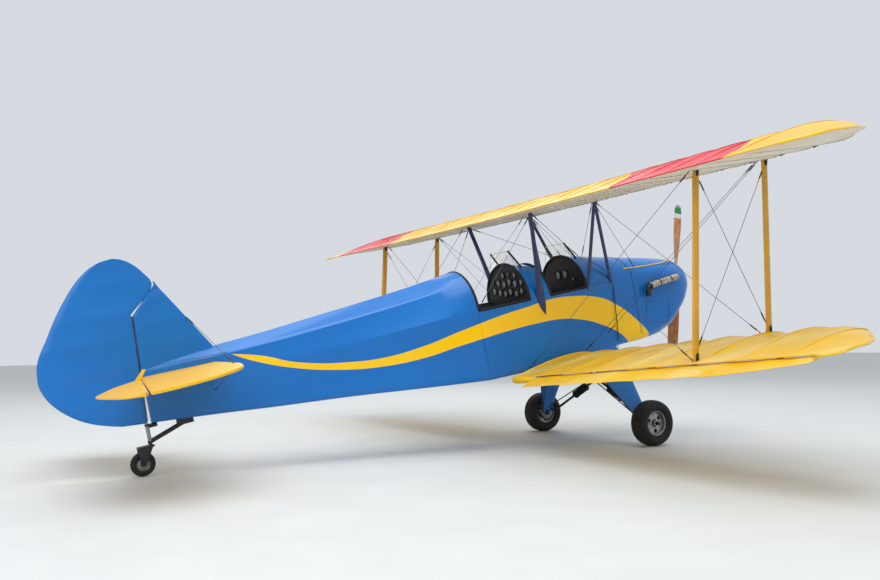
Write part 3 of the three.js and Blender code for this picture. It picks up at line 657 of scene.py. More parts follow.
# Name, place, the point it faces, size and power
LIGHTS = [
    ("overhead", (-1.5, -2.0, 12.0), (0.0, 0.0, 1.0), 12.0, 1150.0),
    ("near_side", (-8.0, -11.0, 7.0), (0.0, 0.0, 1.5), 9.0, 520.0),
    ("far_side", (5.0, 10.0, 8.0), (0.0, 0.0, 1.5), 9.0, 300.0),
]


def studio():
    """A plain pale floor, a bright even sky and three large soft lights."""
    world = bpy.data.worlds.new("studio")
    world.use_nodes = True
    backdrop = world.node_tree.nodes["Background"]
    backdrop.inputs["Color"].default_value = SKY
    backdrop.inputs["Strength"].default_value = SKY_STRENGTH
    bpy.context.scene.world = world
    bpy.context.scene.view_settings.view_transform = "Standard"
    for name, place, aim, size, power in LIGHTS:
        lamp = bpy.data.lights.new(name, "AREA")
        lamp.energy, lamp.size = power, size
        thing = linked(name, lamp)
        thing.location = place
        thing.rotation_euler = (Vector(aim) - Vector(place)).to_track_quat("-Z", "Y").to_euler()
    ground = weathered("floor_paint", colour(206, 208, 206), 0.75, grain=12.0, spread=0.02)
    mesh = bpy.data.meshes.new("floor")
    corners = [(a * FLOOR_REACH, b * FLOOR_REACH, 0) for a, b in ((-1, -1), (1, -1), (1, 1), (-1, 1))]
    mesh.from_pydata(corners, [], [(0, 1, 2, 3)])
    mesh.materials.append(ground.material)
    linked("floor", mesh)


studio()


# Geometry Nodes

class Generator(Tree):
    """A geometry tree with named sizes, run once on an object and turned into a plain mesh."""

    def __init__(self, name, **sizes):
        super().__init__(bpy.data.node_groups.new(name, "GeometryNodeTree"))
        self.sizes = sizes
        self.nodes.interface.new_socket("Geometry", in_out="INPUT", socket_type="NodeSocketGeometry")
        self.nodes.interface.new_socket("Geometry", in_out="OUTPUT", socket_type="NodeSocketGeometry")
        self.identifiers = {}
        for size, value in sizes.items():
            kind = "NodeSocketInt" if isinstance(value, int) else "NodeSocketFloat"
            socket = self.nodes.interface.new_socket(size.replace("_", " "), in_out="INPUT", socket_type=kind)
            self.identifiers[size] = socket.identifier
        self.entry = self.nodes.nodes.new("NodeGroupInput")
        self.given = Value(self, self.entry.outputs["Geometry"])

    def size(self, name):
        return Value(self, self.entry.outputs[name.replace("_", " ")])

    def dressed(self, geometry, finish, selection=True):
        """Gives geometry a finish where it is selected."""
        made = self.node("GeometryNodeSetMaterial", {"Geometry": geometry, "Selection": selection})
        made.socket.node.inputs["Material"].default_value = finish.material
        return made

    def attribute(self, label, kind="FLOAT"):
        return self.node("GeometryNodeInputNamedAttribute", {"Name": label}, data_type=kind)

    def joined(self, *parts):
        made = self.nodes.nodes.new("GeometryNodeJoinGeometry")
        for part in reversed(parts):
            self.nodes.links.new(part.socket, made.inputs[0])
        return Value(self, made.outputs[0])

    def run(self, geometry, source=None):
        """Evaluates the tree on a mesh, or on nothing, and returns the plain mesh."""
        real = self.node("GeometryNodeRealizeInstances", [geometry])
        exit_node = self.nodes.nodes.new("NodeGroupOutput")
        self.nodes.links.new(real.socket, exit_node.inputs[0])
        thing = linked("generator", source or bpy.data.meshes.new("generator"))
        modifier = thing.modifiers.new("generator", "NODES")
        modifier.node_group = self.nodes
        for size, identifier in self.identifiers.items():
            modifier[identifier] = self.sizes[size]
        mesh = as_mesh(thing)
        bpy.data.objects.remove(thing)
        bpy.data.node_groups.remove(self.nodes)
        return mesh


def placed(name, mesh, body="airframe", slot=None, replaces=(), sharp=SHARP, weld=0.0):
    """Makes a finished mesh a piece of the aircraft."""
    build = bmesh.new()
    build.from_mesh(mesh)
    if weld:
        bmesh.ops.remove_doubles(build, verts=build.verts, dist=weld)
        bmesh.ops.dissolve_degenerate(build, edges=build.edges, dist=weld)
    bmesh.ops.recalc_face_normals(build, faces=build.faces)
    build.to_mesh(mesh)
    build.free()
    if mesh.materials and mesh.materials[0] is None:
        mesh.materials.pop(index=0)
    mesh.transform(PARKED)
    mesh.name = name
    mounted(linked(name, mesh), body, replaces, sharp)


def swept(name, runs, finish, thick_finish=None, thick_from=1.0, sides=8, **riding):
    """Round bars along paths of (point, radius), whose thicker stretches may have their own finish."""
    mesh = bpy.data.meshes.new(name)
    points = [point for run in runs for point, _ in run]
    edges, start = [], 0
    for run in runs:
        edges += [(start + i, start + i + 1) for i in range(len(run) - 1)]
        start += len(run)
    mesh.from_pydata(points, edges, [])
    thick = mesh.attributes.new("thick", "FLOAT", "POINT")
    thick.data.foreach_set("value", [radius for run in runs for _, radius in run])
    tree = Generator(name, Sides=sides, Thick_From=thick_from)
    curve = tree.node("GeometryNodeMeshToCurve", {"Mesh": tree.given})
    radius = tree.attribute("thick")
    section = tree.node("GeometryNodeCurvePrimitiveCircle", {"Resolution": tree.size("Sides"), "Radius": 1.0})
    bar = {"Curve": curve, "Profile Curve": section, "Scale": radius, "Fill Caps": True}
    bars = tree.node("GeometryNodeCurveToMesh", bar)
    made = tree.dressed(bars, finish)
    if thick_finish:
        made = tree.dressed(made, thick_finish, radius.above(tree.size("Thick_From")))
    placed(name, tree.run(made, mesh), **riding)


def studs(name, spots, finish, radius=0.006, height=0.003, sides=8, **riding):
    """Small round heads standing on a surface. Each spot is (point, the way it faces)."""
    mesh = bpy.data.meshes.new(name)
    mesh.from_pydata([point for point, _ in spots], [], [])
    facing = mesh.attributes.new("facing", "FLOAT_VECTOR", "POINT")
    facing.data.foreach_set("vector", [c for _, way in spots for c in way])
    tree = Generator(name, Radius=radius, Height=height, Sides=sides)
    way = tree.attribute("facing", "FLOAT_VECTOR")
    size = {"Vertices": tree.size("Sides"), "Radius": tree.size("Radius"), "Depth": tree.size("Height")}
    head = tree.node("GeometryNodeMeshCylinder", size)
    turned = tree.node("FunctionNodeAlignRotationToVector", {"Vector": way}, axis="Z")
    points = tree.node("GeometryNodeMeshToPoints", {"Mesh": tree.given})
    stood = {"Points": points, "Instance": head, "Rotation": turned}
    heads = tree.node("GeometryNodeInstanceOnPoints", stood)
    placed(name, tree.run(tree.dressed(heads, finish), mesh), **riding)


def both_ways(points):
    """A path and its mirror image."""
    return [[to_side(p, side) for p in points] for side in (1, -1)]


def plain(points, radius):
    """A path of even thickness."""
    return [(Vector(p), radius) for p in points]


def paired(name, path, radius, finish, slot):
    """An even bar along a path, on both sides of the aircraft."""
    swept(name, [plain(run, radius) for run in both_ways(path)], finish, slot=slot)


# Wings

# Lengths in metres, angles in degrees. The tip's tail is (distance in from the tip, share of the chord).
UPPER = dict(
    lead_x=0.330, chord=1.410, lead_z=2.494, incidence=2.65, dihedral=0.4, root=0.6, inner=-3.8, outer=3.8,
    bays=26, steps=12, sag=0.013, fold=0.007,
    tip_tail=[(0.0, 0.10), (0.04, 0.05), (0.10, 0.02), (0.20, 0.01), (0.39, 0.0), (0.60, 0.0)],
)
LOWER = dict(
    lead_x=-0.067, chord=1.020, lead_z=0.898, incidence=-0.77, dihedral=4.07, root=0.372, inner=0.366,
    outer=3.8, bays=9, steps=20, sag=0.016, fold=0.018,
    tip_tail=[(0.0, 0.03), (0.04, -0.03), (0.10, -0.06), (0.20, 0.0), (0.39, 0.0), (0.60, 0.0)],
)
HALF_SPAN = 3.8
# Distance in from the tip over which the wings are rounded
TIP_REACH = 0.6
WING_THICKNESS = 0.1175
# Height of the section's middle line over chord, and share of the chord at which it is highest
CAMBER, CAMBER_PEAK = 0.0235, 0.41
# Distance in from the tip, share of the chord that its rounding takes off the nose
TIP_NOSE = [(0.0, 0.76), (0.04, 0.66), (0.10, 0.54), (0.20, 0.40), (0.39, 0.15), (0.56, 0.0), (0.60, 0.0)]
# Distance in from the tip, share of the full thickness
TIP_FULL = [(0.0, 0.26), (0.04, 0.30), (0.10, 0.36), (0.20, 0.48), (0.39, 0.74), (0.56, 1.0), (0.60, 1.0)]


def section_lines(s):
    """Height over chord of the section's middle line: its curve ahead of the peak and its curve behind it."""
    bow = s * (2 * CAMBER_PEAK) - s * s
    return bow * (CAMBER / CAMBER_PEAK**2), (bow + (1 - 2 * CAMBER_PEAK)) * (CAMBER / (1 - CAMBER_PEAK) ** 2)


def section_half(root):
    """Half the section's thickness over chord, by the square root of the share of the chord."""
    s = root * root
    return (
        root * 0.2969 - s * 0.126 - s * s * 0.3516 + s * s * s * 0.2843 - s * s * s * s * 0.1036
    ) * (5 * WING_THICKNESS)


def wing_point(wing, y, s, way):
    """A point of a wing's skin: y, share of the chord, and 1 above, 0 on the middle line or -1 below."""
    inset = HALF_SPAN - abs(y)
    nose, tail, full = (between(inset, rows) for rows in (TIP_NOSE, wing["tip_tail"], TIP_FULL))
    chord = wing["chord"] * (1 - nose - tail)
    aft = nose * wing["chord"] + s * chord
    lift = max(abs(y) - wing["root"], 0.0) * tan(radians(wing["dihedral"]))
    line = section_lines(s)[0 if s < CAMBER_PEAK else 1]
    height = (line + way * section_half(sqrt(s)) * full) * chord
    z = wing["lead_z"] - aft * tan(radians(wing["incidence"])) + height + lift
    return Vector((wing["lead_x"] - aft, y, z))


def ribbed_wing(wing, top, under, tape, tape_below):
    """A wing's fabric skin sagging between its ribs, with a sewn tape over each and a rounded rear edge."""
    tree = Generator(
        "ribbed_wing", Bays=wing["bays"], Inner_End=wing["inner"], Outer_End=wing["outer"],
        Chord=wing["chord"], Sag=wing["sag"], Fold=wing["fold"], Tape_Width=0.022, Stitch_Pitch=0.045,
        Edge_Radius=0.005,
    )
    stations = tree.size("Bays") * float(wing["steps"]) + 1.0
    size = {"Size X": 1.0, "Size Y": 1.0, "Vertices X": 61, "Vertices Y": stations}
    marked = tree.node("GeometryNodeMeshGrid", size)
    at = tree.node("ShaderNodeSeparateXYZ", [tree.node("GeometryNodeInputPosition")])
    around = at * 2.0
    along = tree.other(at, 1) + 0.5
    y = tree.size("Inner_End") + along * (tree.size("Outer_End") - tree.size("Inner_End"))
    reach = y.math("ABSOLUTE")
    inset = reach * -1.0 + HALF_SPAN
    near_tip = inset.math("MINIMUM", TIP_REACH)
    nose, tail, full = (tree.curve(near_tip, rows) for rows in (TIP_NOSE, wing["tip_tail"], TIP_FULL))
    chord = tree.size("Chord") * (1.0 - nose - tail)
    s = around * around
    side = around.math("SIGN")
    half = section_half(around.math("ABSOLUTE")) * full
    ahead = s.below(CAMBER_PEAK)
    front, back = section_lines(s)
    line = front * ahead + back * (1.0 - ahead)
    phase = (along * tree.size("Bays")).math("FRACT")
    dip = phase * (1.0 - phase) * 4.0
    grip = s.soft(0.0, 0.05) * (1.0 - s.soft(0.8, 1.0)) * full
    aft = nose * tree.size("Chord") + s * chord
    flat = tree.node("ShaderNodeCombineXYZ", [aft * 1.0, y * 1.0, around * 0.4])
    waves = {"Vector": flat, "Scale": 0.9, "Distortion": 5.0, "Detail": 1.0, "Detail Scale": 0.7}
    folds = tree.node("ShaderNodeTexWave", waves, output=1, wave_type="BANDS", bands_direction="DIAGONAL")
    slack = dip * grip * (tree.size("Sag") + folds * tree.size("Fold"))
    slack = slack.math("MINIMUM", half * chord * 0.7)
    height = (line + side * half) * chord - side * slack
    scallop = dip * s.soft(0.85, 1.0) * 0.006
    lift = (reach - wing["root"]).math("MAXIMUM", 0.0) * tan(radians(wing["dihedral"]))
    x = aft * -1.0 + scallop + wing["lead_x"]
    drawn = dip * (1.0 - s.soft(0.10, 0.35)) * full * 0.005
    z = aft * -tan(radians(wing["incidence"])) + height + lift + wing["lead_z"] + drawn * (1.0 - side)
    marks = {
        "upper": around.above(0.0), "rib": phase.math("PINGPONG", 0.5).below(0.01),
        "tail_edge": around.below(-0.999), "inset": inset,
    }
    for label, value in marks.items():
        stored = {"Geometry": marked, "Name": label, "Value": value}
        marked = tree.node("GeometryNodeStoreNamedAttribute", stored, data_type="FLOAT")
    moved = {"Geometry": marked, "Position": tree.node("ShaderNodeCombineXYZ", [x, y, z])}
    marked = tree.node("GeometryNodeSetPosition", moved)
    skin = tree.dressed(marked, under)
    skin = tree.dressed(skin, top, tree.attribute("upper").above(0.49))

    def edge_line(label, limit):
        chosen = tree.attribute(label).above(0.99) * tree.attribute("inset").above(limit)
        return tree.node("GeometryNodeMeshToCurve", {"Mesh": marked, "Selection": chosen})

    upright = {"Curve": edge_line("rib", 0.3), "Normal": (0.0, 1.0, 0.0)}
    ribs = tree.node("GeometryNodeSetCurveNormal", upright, mode="FREE")
    band = {"Width": tree.size("Tape_Width"), "Height": 0.0018}
    flat = tree.node("GeometryNodeCurvePrimitiveQuadrilateral", band)
    tapes = tree.node("GeometryNodeCurveToMesh", {"Curve": ribs, "Profile Curve": flat})
    tapes = tree.dressed(tree.dressed(tapes, tape), tape_below, tree.attribute("upper").below(0.5))
    steps = {"Curve": ribs, "Length": tree.size("Stitch_Pitch")}
    spots = tree.node("GeometryNodeCurveToPoints", steps, mode="LENGTH")
    stitch = tree.node("GeometryNodeMeshCube", {"Size": (0.004, 0.0042, 0.016)})
    sewn = {"Points": spots, "Selection": tree.attribute("upper").above(0.5), "Instance": stitch}
    stitches = tree.node("GeometryNodeInstanceOnPoints", {**sewn, "Rotation": tree.other(spots, 3)})
    round_edge = {"Resolution": 8, "Radius": tree.size("Edge_Radius")}
    bead = tree.node("GeometryNodeCurvePrimitiveCircle", round_edge)
    edge = tree.node("GeometryNodeCurveToMesh", {"Curve": edge_line("tail_edge", 0.0), "Profile Curve": bead})
    return tree.run(tree.joined(skin, tapes, tree.dressed(stitches, tape), tree.dressed(edge, tape)))


# Skin points nearer each other than this, at the wing's edges, become one
WELD = 0.0003
placed(
    "upper_wing", ribbed_wing(UPPER, upper_fabric, under_fabric, upper_fabric, under_tape),
    slot="pale_yellow_fabric", weld=WELD,
    replaces=("upper_wing_centre", "upper_wing_left", "upper_wing_right"),
)
BOW_RADIUS = 0.0105
BOW_STEP = 0.02
STRIP_RADIUS = 0.0065
# How far a leading-edge strip stops short of each rib, and how far it bows up between two
STRIP_GAP, STRIP_BOW = 0.022, 0.014


def tip_bow(wing, side):
    """The bent tube round a wing tip, from the leading edge to the rear corner."""
    spots = [(inset, 0.0) for inset in (0.60, 0.5, 0.39, 0.3, 0.2, 0.15, 0.1, 0.07, 0.04, 0.02)]
    spots += [(0.008, s) for s in (0.12, 0.35, 0.6, 0.85)]
    spots += [(inset, 1.0) for inset in (0.03, 0.06, 0.1, 0.15, 0.2)]
    path = [wing_point(wing, HALF_SPAN - inset, s, 0) for inset, s in spots]
    length = sum((p - q).length for p, q in zip(path[1:], path))
    return [(to_side(p, side), BOW_RADIUS) for p in smooth_path(path, int(length / BOW_STEP))]


def lead_strips(wing, side):
    """The dark strip under the leading edge, broken at each rib and bowed between them."""
    pitch = (wing["outer"] - wing["inner"]) / wing["bays"]
    runs = []
    for bay in range(wing["bays"] // 2, wing["bays"] - 2):
        start = wing["inner"] + bay * pitch + STRIP_GAP
        run = []
        for t in spread(0, 1, 9):
            x, y, z = wing_point(wing, start + t * (pitch - 2 * STRIP_GAP), 0.085, -1)
            run.append((to_side((x, y, z - 0.001 + STRIP_BOW * sin(pi * t)), side), STRIP_RADIUS))
        runs.append(run)
    return runs


def root_roll(side):
    """The thick padded rear corner between the fuselage and the flaperon, with its round ends."""
    edge = wing_point(LOWER, LOWER["root"], 1.0, 0)
    # Distance out, distance aft, radius
    rows = [
        (0.380, 0.034, 0.030), (0.400, 0.030, 0.036), (0.450, 0.026, 0.037), (0.520, 0.020, 0.034),
        (0.590, 0.012, 0.028), (0.640, 0.004, 0.020), (0.665, 0.000, 0.010), (0.672, 0.000, 0.002),
    ]
    return [(to_side((edge.x + 0.010 - back, y, edge.z - 0.014), side), radius) for y, back, radius in rows]


def root_bead(side):
    """The sewn bead where the wing's skin meets the fuselage."""
    shares = (0.02, 0.1, 0.2, 0.32, 0.45, 0.58, 0.7, 0.82, 0.92, 0.985)
    path = smooth_path([wing_point(LOWER, 0.384, s, 1) for s in shares], 50)
    return plain([to_side(p, side) for p in path], 0.009)


def rear_gap_shade(side):
    """A dark bar under the lower wing's rear edge, in front of the flaperon: painted shade in the gap between
    them.
    """
    spots = [wing_point(LOWER, y, 0.97, -1) for y in spread(0.70, 3.25, 60)]
    return plain([to_side((x + 0.014, y, z), side) for x, y, z in spots], 0.006)


# Black bars that paint the shade in the gaps between the lower wings and their flaperons.
swept("lower_wing_rear_seals", [rear_gap_shade(1), rear_gap_shade(-1)], black_paint, slot="black_metal")
bows = [tip_bow(UPPER, side) for side in (1, -1)]
swept("upper_wing_bows", bows, edge_paint, sides=10, slot="pale_yellow_fabric")
strips = lead_strips(UPPER, 1) + lead_strips(UPPER, -1)
swept("upper_wing_lead_strips", strips, black_paint, slot="black_metal")
for label, side in SIDES:
    name = f"lower_wing_{label}"
    swept(f"{name}_bow", [tip_bow(LOWER, side)], edge_paint, sides=10, slot="yellow_fabric")
    swept(f"{name}_root_roll", [root_roll(side)], lower_fabric, sides=20, slot="yellow_fabric")
    swept(f"{name}_root_bead", [root_bead(side)], lower_fabric, sides=10, slot="yellow_fabric")
    half = ribbed_wing(LOWER, lower_fabric, lower_fabric, lower_fabric, lower_fabric)
    half.transform(Matrix.Diagonal((1.0, side, 1.0, 1.0)))
    placed(f"{name}_skin", half, slot="yellow_fabric", replaces=(name,), weld=WELD)


# Flaperons

FLAPERON = dict(inner=0.690, outer=3.610, chord=0.215, thick=0.026, droop=12.0, axis_x=-1.062)
FLAPERON_RIBS = [0.693, 0.957, 1.348, 1.750, 2.130, 2.520, 2.889, 3.270, 3.607]
# Distance out, share of the chord
FLAPERON_TAPER = [
    (0.690, 1.0), (2.920, 1.0), (3.320, 0.72), (3.510, 0.56), (3.560, 0.49), (3.590, 0.42), (3.610, 0.34),
]
# Share of the chord behind the nose, share of the nose's thickness
FLAPERON_BACK = [(0.15, 0.94), (0.3, 0.85), (0.5, 0.66), (0.7, 0.45), (0.88, 0.26)]
# How far the fabric dips between ribs, and how far the rear edge comes in there
FABRIC_DIP, EDGE_DIP = 0.006, 0.010
# Shares of the flaperon's length at which it hangs
LUG_SHARES = (0.08, 0.5, 0.9)


def flaperon_axis(y):
    """The hinge line at a distance out on the port side."""
    foot = LOWER["lead_z"] - LOWER["chord"] * tan(radians(LOWER["incidence"]))
    rise = (y - LOWER["root"]) * tan(radians(LOWER["dihedral"]))
    return Vector((FLAPERON["axis_x"], y, foot + rise - 0.024))


def bay_dip(value, marks):
    """0 at each rib and 1 half way between two ribs."""
    for low, high in zip(marks, marks[1:]):
        if low <= value <= high:
            t = (value - low) / (high - low)
            return 4 * t * (1 - t)
    return 0.0


def flaperon(side):
    """A control surface drawn tight over its ribs, with a scalloped rear edge and rounded outer corner."""
    nose = FLAPERON["thick"] / 2
    turn, lean = cos(radians(FLAPERON["droop"])), sin(radians(FLAPERON["droop"]))
    rings = []
    for y in spread(FLAPERON["inner"], FLAPERON["outer"], 121):
        centre = flaperon_axis(y)
        dip = bay_dip(y, FLAPERON_RIBS)
        tail = FLAPERON["chord"] * between(y, FLAPERON_TAPER) - nose - EDGE_DIP * dip
        peak = 0.08 * (1.0 - dip) ** 3
        long, high = nose * (1.0 - 0.2 * dip), nose * (1.0 + peak - 0.2 * dip)
        outline = [(long * sin(t), high * cos(t)) for t in spread(0, pi, 9)]
        skin = [
            (-tail * s, nose * full * (1 + peak * (1 - s)) - FABRIC_DIP * dip * sin(pi * s))
            for s, full in FLAPERON_BACK
        ]
        outline += [(u, -v) for u, v in skin]
        outline += [(-tail + 0.004, -0.0035), (-tail, 0.0), (-tail + 0.004, 0.0035)] + skin[::-1]
        rings.append([
            (centre.x + u * turn - v * lean, y, centre.z + u * lean + v * turn) for u, v in outline
        ])
    return Shape().loft(rings).on(side)


def flaperon_brackets(side):
    """The arms under the wing that carry the flaperon, each with its pin."""
    shape = Shape()
    for share in LUG_SHARES:
        y = FLAPERON["inner"] + share * (FLAPERON["outer"] - FLAPERON["inner"])
        axis = flaperon_axis(y)
        up = wing_point(LOWER, y, 0.9, -1)
        arm = [
            (axis.x - 0.010, axis.z), (axis.x, axis.z - 0.011), (axis.x + 0.013, axis.z - 0.006),
            (up.x + 0.03, up.z + 0.004), (up.x - 0.05, up.z + 0.006), (axis.x - 0.002, axis.z + 0.011),
        ]
        for way in (-1, 1):
            shape.plate([(x, y + way * 0.009 - 0.0015, z) for x, z in arm], (0, 0.003, 0))
        shape.tube([(axis.x, y - 0.016, axis.z), (axis.x, y + 0.016, axis.z)], 0.005)
    return shape.on(side)


for label, side in SIDES:
    piece(
        f"flaperon_{label}_skin", flaperon(side), lower_fabric, f"flaperon_{label}",
        (f"flaperon_{label}",), sharp=50,
    )
    piece(f"flaperon_brackets_{label}", flaperon_brackets(side), black_paint, bevel=0.001)


# Fuselage

ARCH_X = -1.350
REAR_PANEL_X, MID_DECK_X, FRONT_PANEL_X = -0.745, -0.490, -0.025
# x, half width, belly, upper longeron, crown, crease half width, crease height
REAR_HULL = [
    (-4.333, 0.026, 1.286, 1.550, 1.722, 0.018, 1.700), (-3.740, 0.092, 1.222, 1.556, 1.783, 0.090, 1.706),
    (-3.354, 0.137, 1.177, 1.553, 1.808, 0.126, 1.720), (-2.686, 0.214, 1.107, 1.563, 1.865, 0.172, 1.763),
    (-2.153, 0.276, 1.041, 1.582, 1.912, 0.196, 1.805), (-1.755, 0.318, 0.992, 1.600, 1.955, 0.212, 1.846),
    (ARCH_X, 0.360, 0.945, 1.612, 2.008, 0.245, 1.895),
]
# Share of the way up the top at which its crease lies, and where the arch has become a ridge
CREASE_AT = 0.52
RIDGE_X = -1.78
# x, half width, belly, shoulder, crown, corner radius
FRONT_HULL = [
    (-1.350, 0.360, 0.945, 1.610, 2.000, 0.026), (-0.745, 0.362, 0.925, 1.606, 1.985, 0.030),
    (-0.490, 0.362, 0.928, 1.604, 1.945, 0.030), (-0.025, 0.362, 0.938, 1.602, 1.955, 0.032),
    (0.330, 0.364, 0.938, 1.598, 1.894, 0.040), (0.590, 0.368, 0.930, 1.590, 1.848, 0.060),
]
COWL = [
    (0.590, 0.368, 0.930, 1.590, 1.848, 0.060), (0.830, 0.376, 0.935, 1.560, 1.806, 0.110),
    (1.070, 0.380, 0.975, 1.520, 1.765, 0.170), (1.280, 0.365, 1.090, 1.470, 1.724, 0.210),
    (1.430, 0.320, 1.235, 1.440, 1.684, 0.170), (1.500, 0.255, 1.330, 1.425, 1.620, 0.110),
]


def row_at(x, rows):
    """All the columns of a table at a value of its first one."""
    return [between(x, rows, column) for column in range(1, len(rows[0]))]


def arch(half, foot, crown, turns):
    """Points (across, up) of a half-elliptical top."""
    return [(half * cos(t), foot + (crown - foot) * sin(t)) for t in turns]


def round_corner(half, belly, corner, steps):
    """Points (across, up) of the bend between belly and side."""
    return [
        (half - corner + corner * sin(t), belly + corner - corner * cos(t)) for t in spread(0, pi / 2, steps)
    ]


def rear_ring(x):
    """Half a section of the rear fuselage, from the keel's centre up the port side to the ridge."""
    half, belly, rail, crown, crease_y, crease_z = row_at(x, REAR_HULL)
    corner = 0.5 * min(0.05, half)
    ring = [(0.0, belly), (half * 0.5, belly)] + round_corner(half, belly, corner, 4)
    sag = 0.010 * min(1.0, half / 0.25)
    for t in spread(0, 1, 9)[1:]:
        ring.append((half - sag * sin(pi * t), belly + corner + (rail - belly - corner) * t))
    ridged = min(max((ARCH_X - x) / (ARCH_X - RIDGE_X), 0.0), 1.0)
    ridged = ridged * ridged * (3 - 2 * ridged)
    shares = spread(0, 1, 19)[1:]
    for t, rounded in zip(shares, arch(half, rail, crown, [t * pi / 2 for t in shares])):
        if t < CREASE_AT:
            u = t / CREASE_AT
            flat = (half + (crease_y - half) * u, rail + (crease_z - rail) * u)
        else:
            u = (t - CREASE_AT) / (1 - CREASE_AT)
            flat = (crease_y * (1 - u), crease_z + (crown - crease_z) * u)
        hollow = 0.006 * sin(pi * u) * min(1.0, half / 0.2) * 0.7
        ring.append(tuple(a + (b - hollow - a) * ridged for a, b in zip(rounded, flat)))
    return ring


def both_sides(x, half_ring):
    """A closed section from a half that starts and ends on the middle line."""
    port = [(x, y, z) for y, z in half_ring]
    return port + [(x, -y, z) for x, y, z in reversed(port[1:-1])]


def front_ring(row):
    """Half a section of the forward fuselage: flat belly, round corner, flat side, half-elliptical top."""
    half, belly, shoulder, crown, corner = row
    ring = [(0.0, belly), (half * 0.45, belly)] + round_corner(half, belly, corner, 6)
    ring += [(half, belly + corner + (shoulder - belly - corner) * t) for t in spread(0, 1, 7)[1:]]
    return ring + arch(half, shoulder, crown, spread(0, pi / 2, 12)[1:])


def rear_fuselage():
    stations = spread(-4.333, ARCH_X - 0.32, 46)[:-1] + spread(ARCH_X - 0.32, ARCH_X, 14)
    rings = [both_sides(x, rear_ring(x)) for x in stations]
    return Shape().loft(rings, ends=(True, False))


# Points of half a forward section up to its shoulder
SIDE_STEPS = 2 + 6 + 6


def cockpit_tub():
    """The forward fuselage: sides and belly all along, and decks between the two cockpits' openings."""
    shape = Shape()
    stations = sorted(set(spread(ARCH_X, 0.59, 42) + [REAR_PANEL_X, MID_DECK_X, FRONT_PANEL_X]))
    rings = [both_sides(x, front_ring(row_at(x, FRONT_HULL))) for x in stations]
    size = len(rings[0])
    deck = range(SIDE_STEPS - 1, size - SIDE_STEPS + 1)
    points = [p for ring in rings for p in ring]
    faces = []
    for r, x in enumerate(stations[:-1]):
        open_above = ARCH_X <= x < REAR_PANEL_X or MID_DECK_X <= x < FRONT_PANEL_X
        for i in range(size):
            if not (open_above and i in deck):
                j = (i + 1) % size
                faces.append((r * size + i, r * size + j, (r + 1) * size + j, (r + 1) * size + i))
    return shape.add(points, faces)


# Half width and half height of the nose opening, its middle's height and how square its corners are
OPENING, OPENING_Z, SQUARE = (0.155, 0.092), 1.42, 3.2


def cowl_shell():
    """The engine cowling, a double skin rounded in to a lip round its nose opening."""
    stations = spread(0.5905, 1.5, 34)
    outer = [both_sides(x, front_ring(row_at(x, COWL))) for x in stations]
    nose = outer[-1]
    opening = []
    for _, y, z in nose:
        turn = atan2(z - OPENING_Z, y)
        c, s = cos(turn), sin(turn)
        reach = (abs(c / OPENING[0]) ** SQUARE + abs(s / OPENING[1]) ** SQUARE) ** (-1 / SQUARE)
        opening.append((reach * c, OPENING_Z + reach * s))
    lip = [
        [(x, y + (oy - y) * share, z + (oz - z) * share) for (_, y, z), (oy, oz) in zip(nose, opening)]
        for share, x in ((0.3, 1.508), (0.75, 1.512), (0.95, 1.508), (1.0, 1.498), (1.0, 1.46), (0.8, 1.45))
    ]
    inner = []
    for x in reversed(stations[:-4]):
        half, belly, shoulder, crown, corner = row_at(x, COWL)
        row = (half - 0.006, belly + 0.006, shoulder, crown - 0.006, corner - 0.005)
        inner.append(both_sides(x, front_ring(row)))
    return Shape().loft(outer + lip + inner + outer[:1], ends=(False, False))


piece(
    "rear_fuselage_skin", rear_fuselage(), hull_blue, replaces=("rear_fuselage",),
    wall=0.006, sharp=22,
)
piece(
    "cockpit_tub_skin", cockpit_tub(), [hull_blue, cockpit_grey],
    replaces=("cockpit_tub",), wall=0.012, sharp=50,
)
piece("cowling_skin", cowl_shell(), hull_blue, replaces=("cowling",), sharp=50)


def on_arch(x, turn, rows=FRONT_HULL, lift=0.001):
    """A point on the forward skin's arched top, at an angle up from its port edge."""
    half, _, shoulder, crown, _ = row_at(x, rows)
    return Vector((x, (half + lift) * cos(turn), shoulder + (crown - shoulder + lift) * sin(turn)))


def on_side(x, z, rows=FRONT_HULL, lift=0.001):
    """A point on the forward skin's flat port side."""
    return Vector((x, row_at(x, rows)[0] + lift, z))


def deck_line(*rows):
    """A smooth line over the arched top through (x, angle) points."""
    return smooth_path([on_arch(x, turn) for x, turn in rows], 24)


def seam_runs():
    """The joints in the forward skin, as thin dark lines, on both sides."""
    joint_x, lift = 0.594, 0.0015
    door = [(0.733, 1.319), (1.048, 1.262), (0.994, 1.041), (0.681, 1.103), (0.733, 1.319)]
    cowl_joint = [on_side(joint_x, z, COWL, lift) for z in spread(0.99, 1.58, 5)]
    cowl_joint += [on_arch(joint_x, t, COWL, lift) for t in spread(0.05, pi / 2 - 0.01, 14)]
    lines = [
        deck_line((0.093, 1.09), (0.150, 0.98), (0.215, 0.78), (0.265, 0.50), (0.302, 0.16)),
        deck_line((0.071, 0.60), (0.150, 0.50), (0.240, 0.30), (0.309, 0.06)),
        deck_line((0.005, 0.05), (0.16, 0.045), (0.309, 0.04)),
        [on_side(x, z, COWL) for x, z in door],
        cowl_joint,
    ]
    return [plain(run, 0.0016) for line in lines for run in both_ways(line)]


# x of the screws round the cowling's rear edge, and (x, z) of those round its door
SCREW_X = 0.612
DOOR_SCREWS = [(0.722, 1.303), (1.030, 1.250), (0.983, 1.058), (0.698, 1.118), (0.880, 1.280), (0.835, 1.085)]


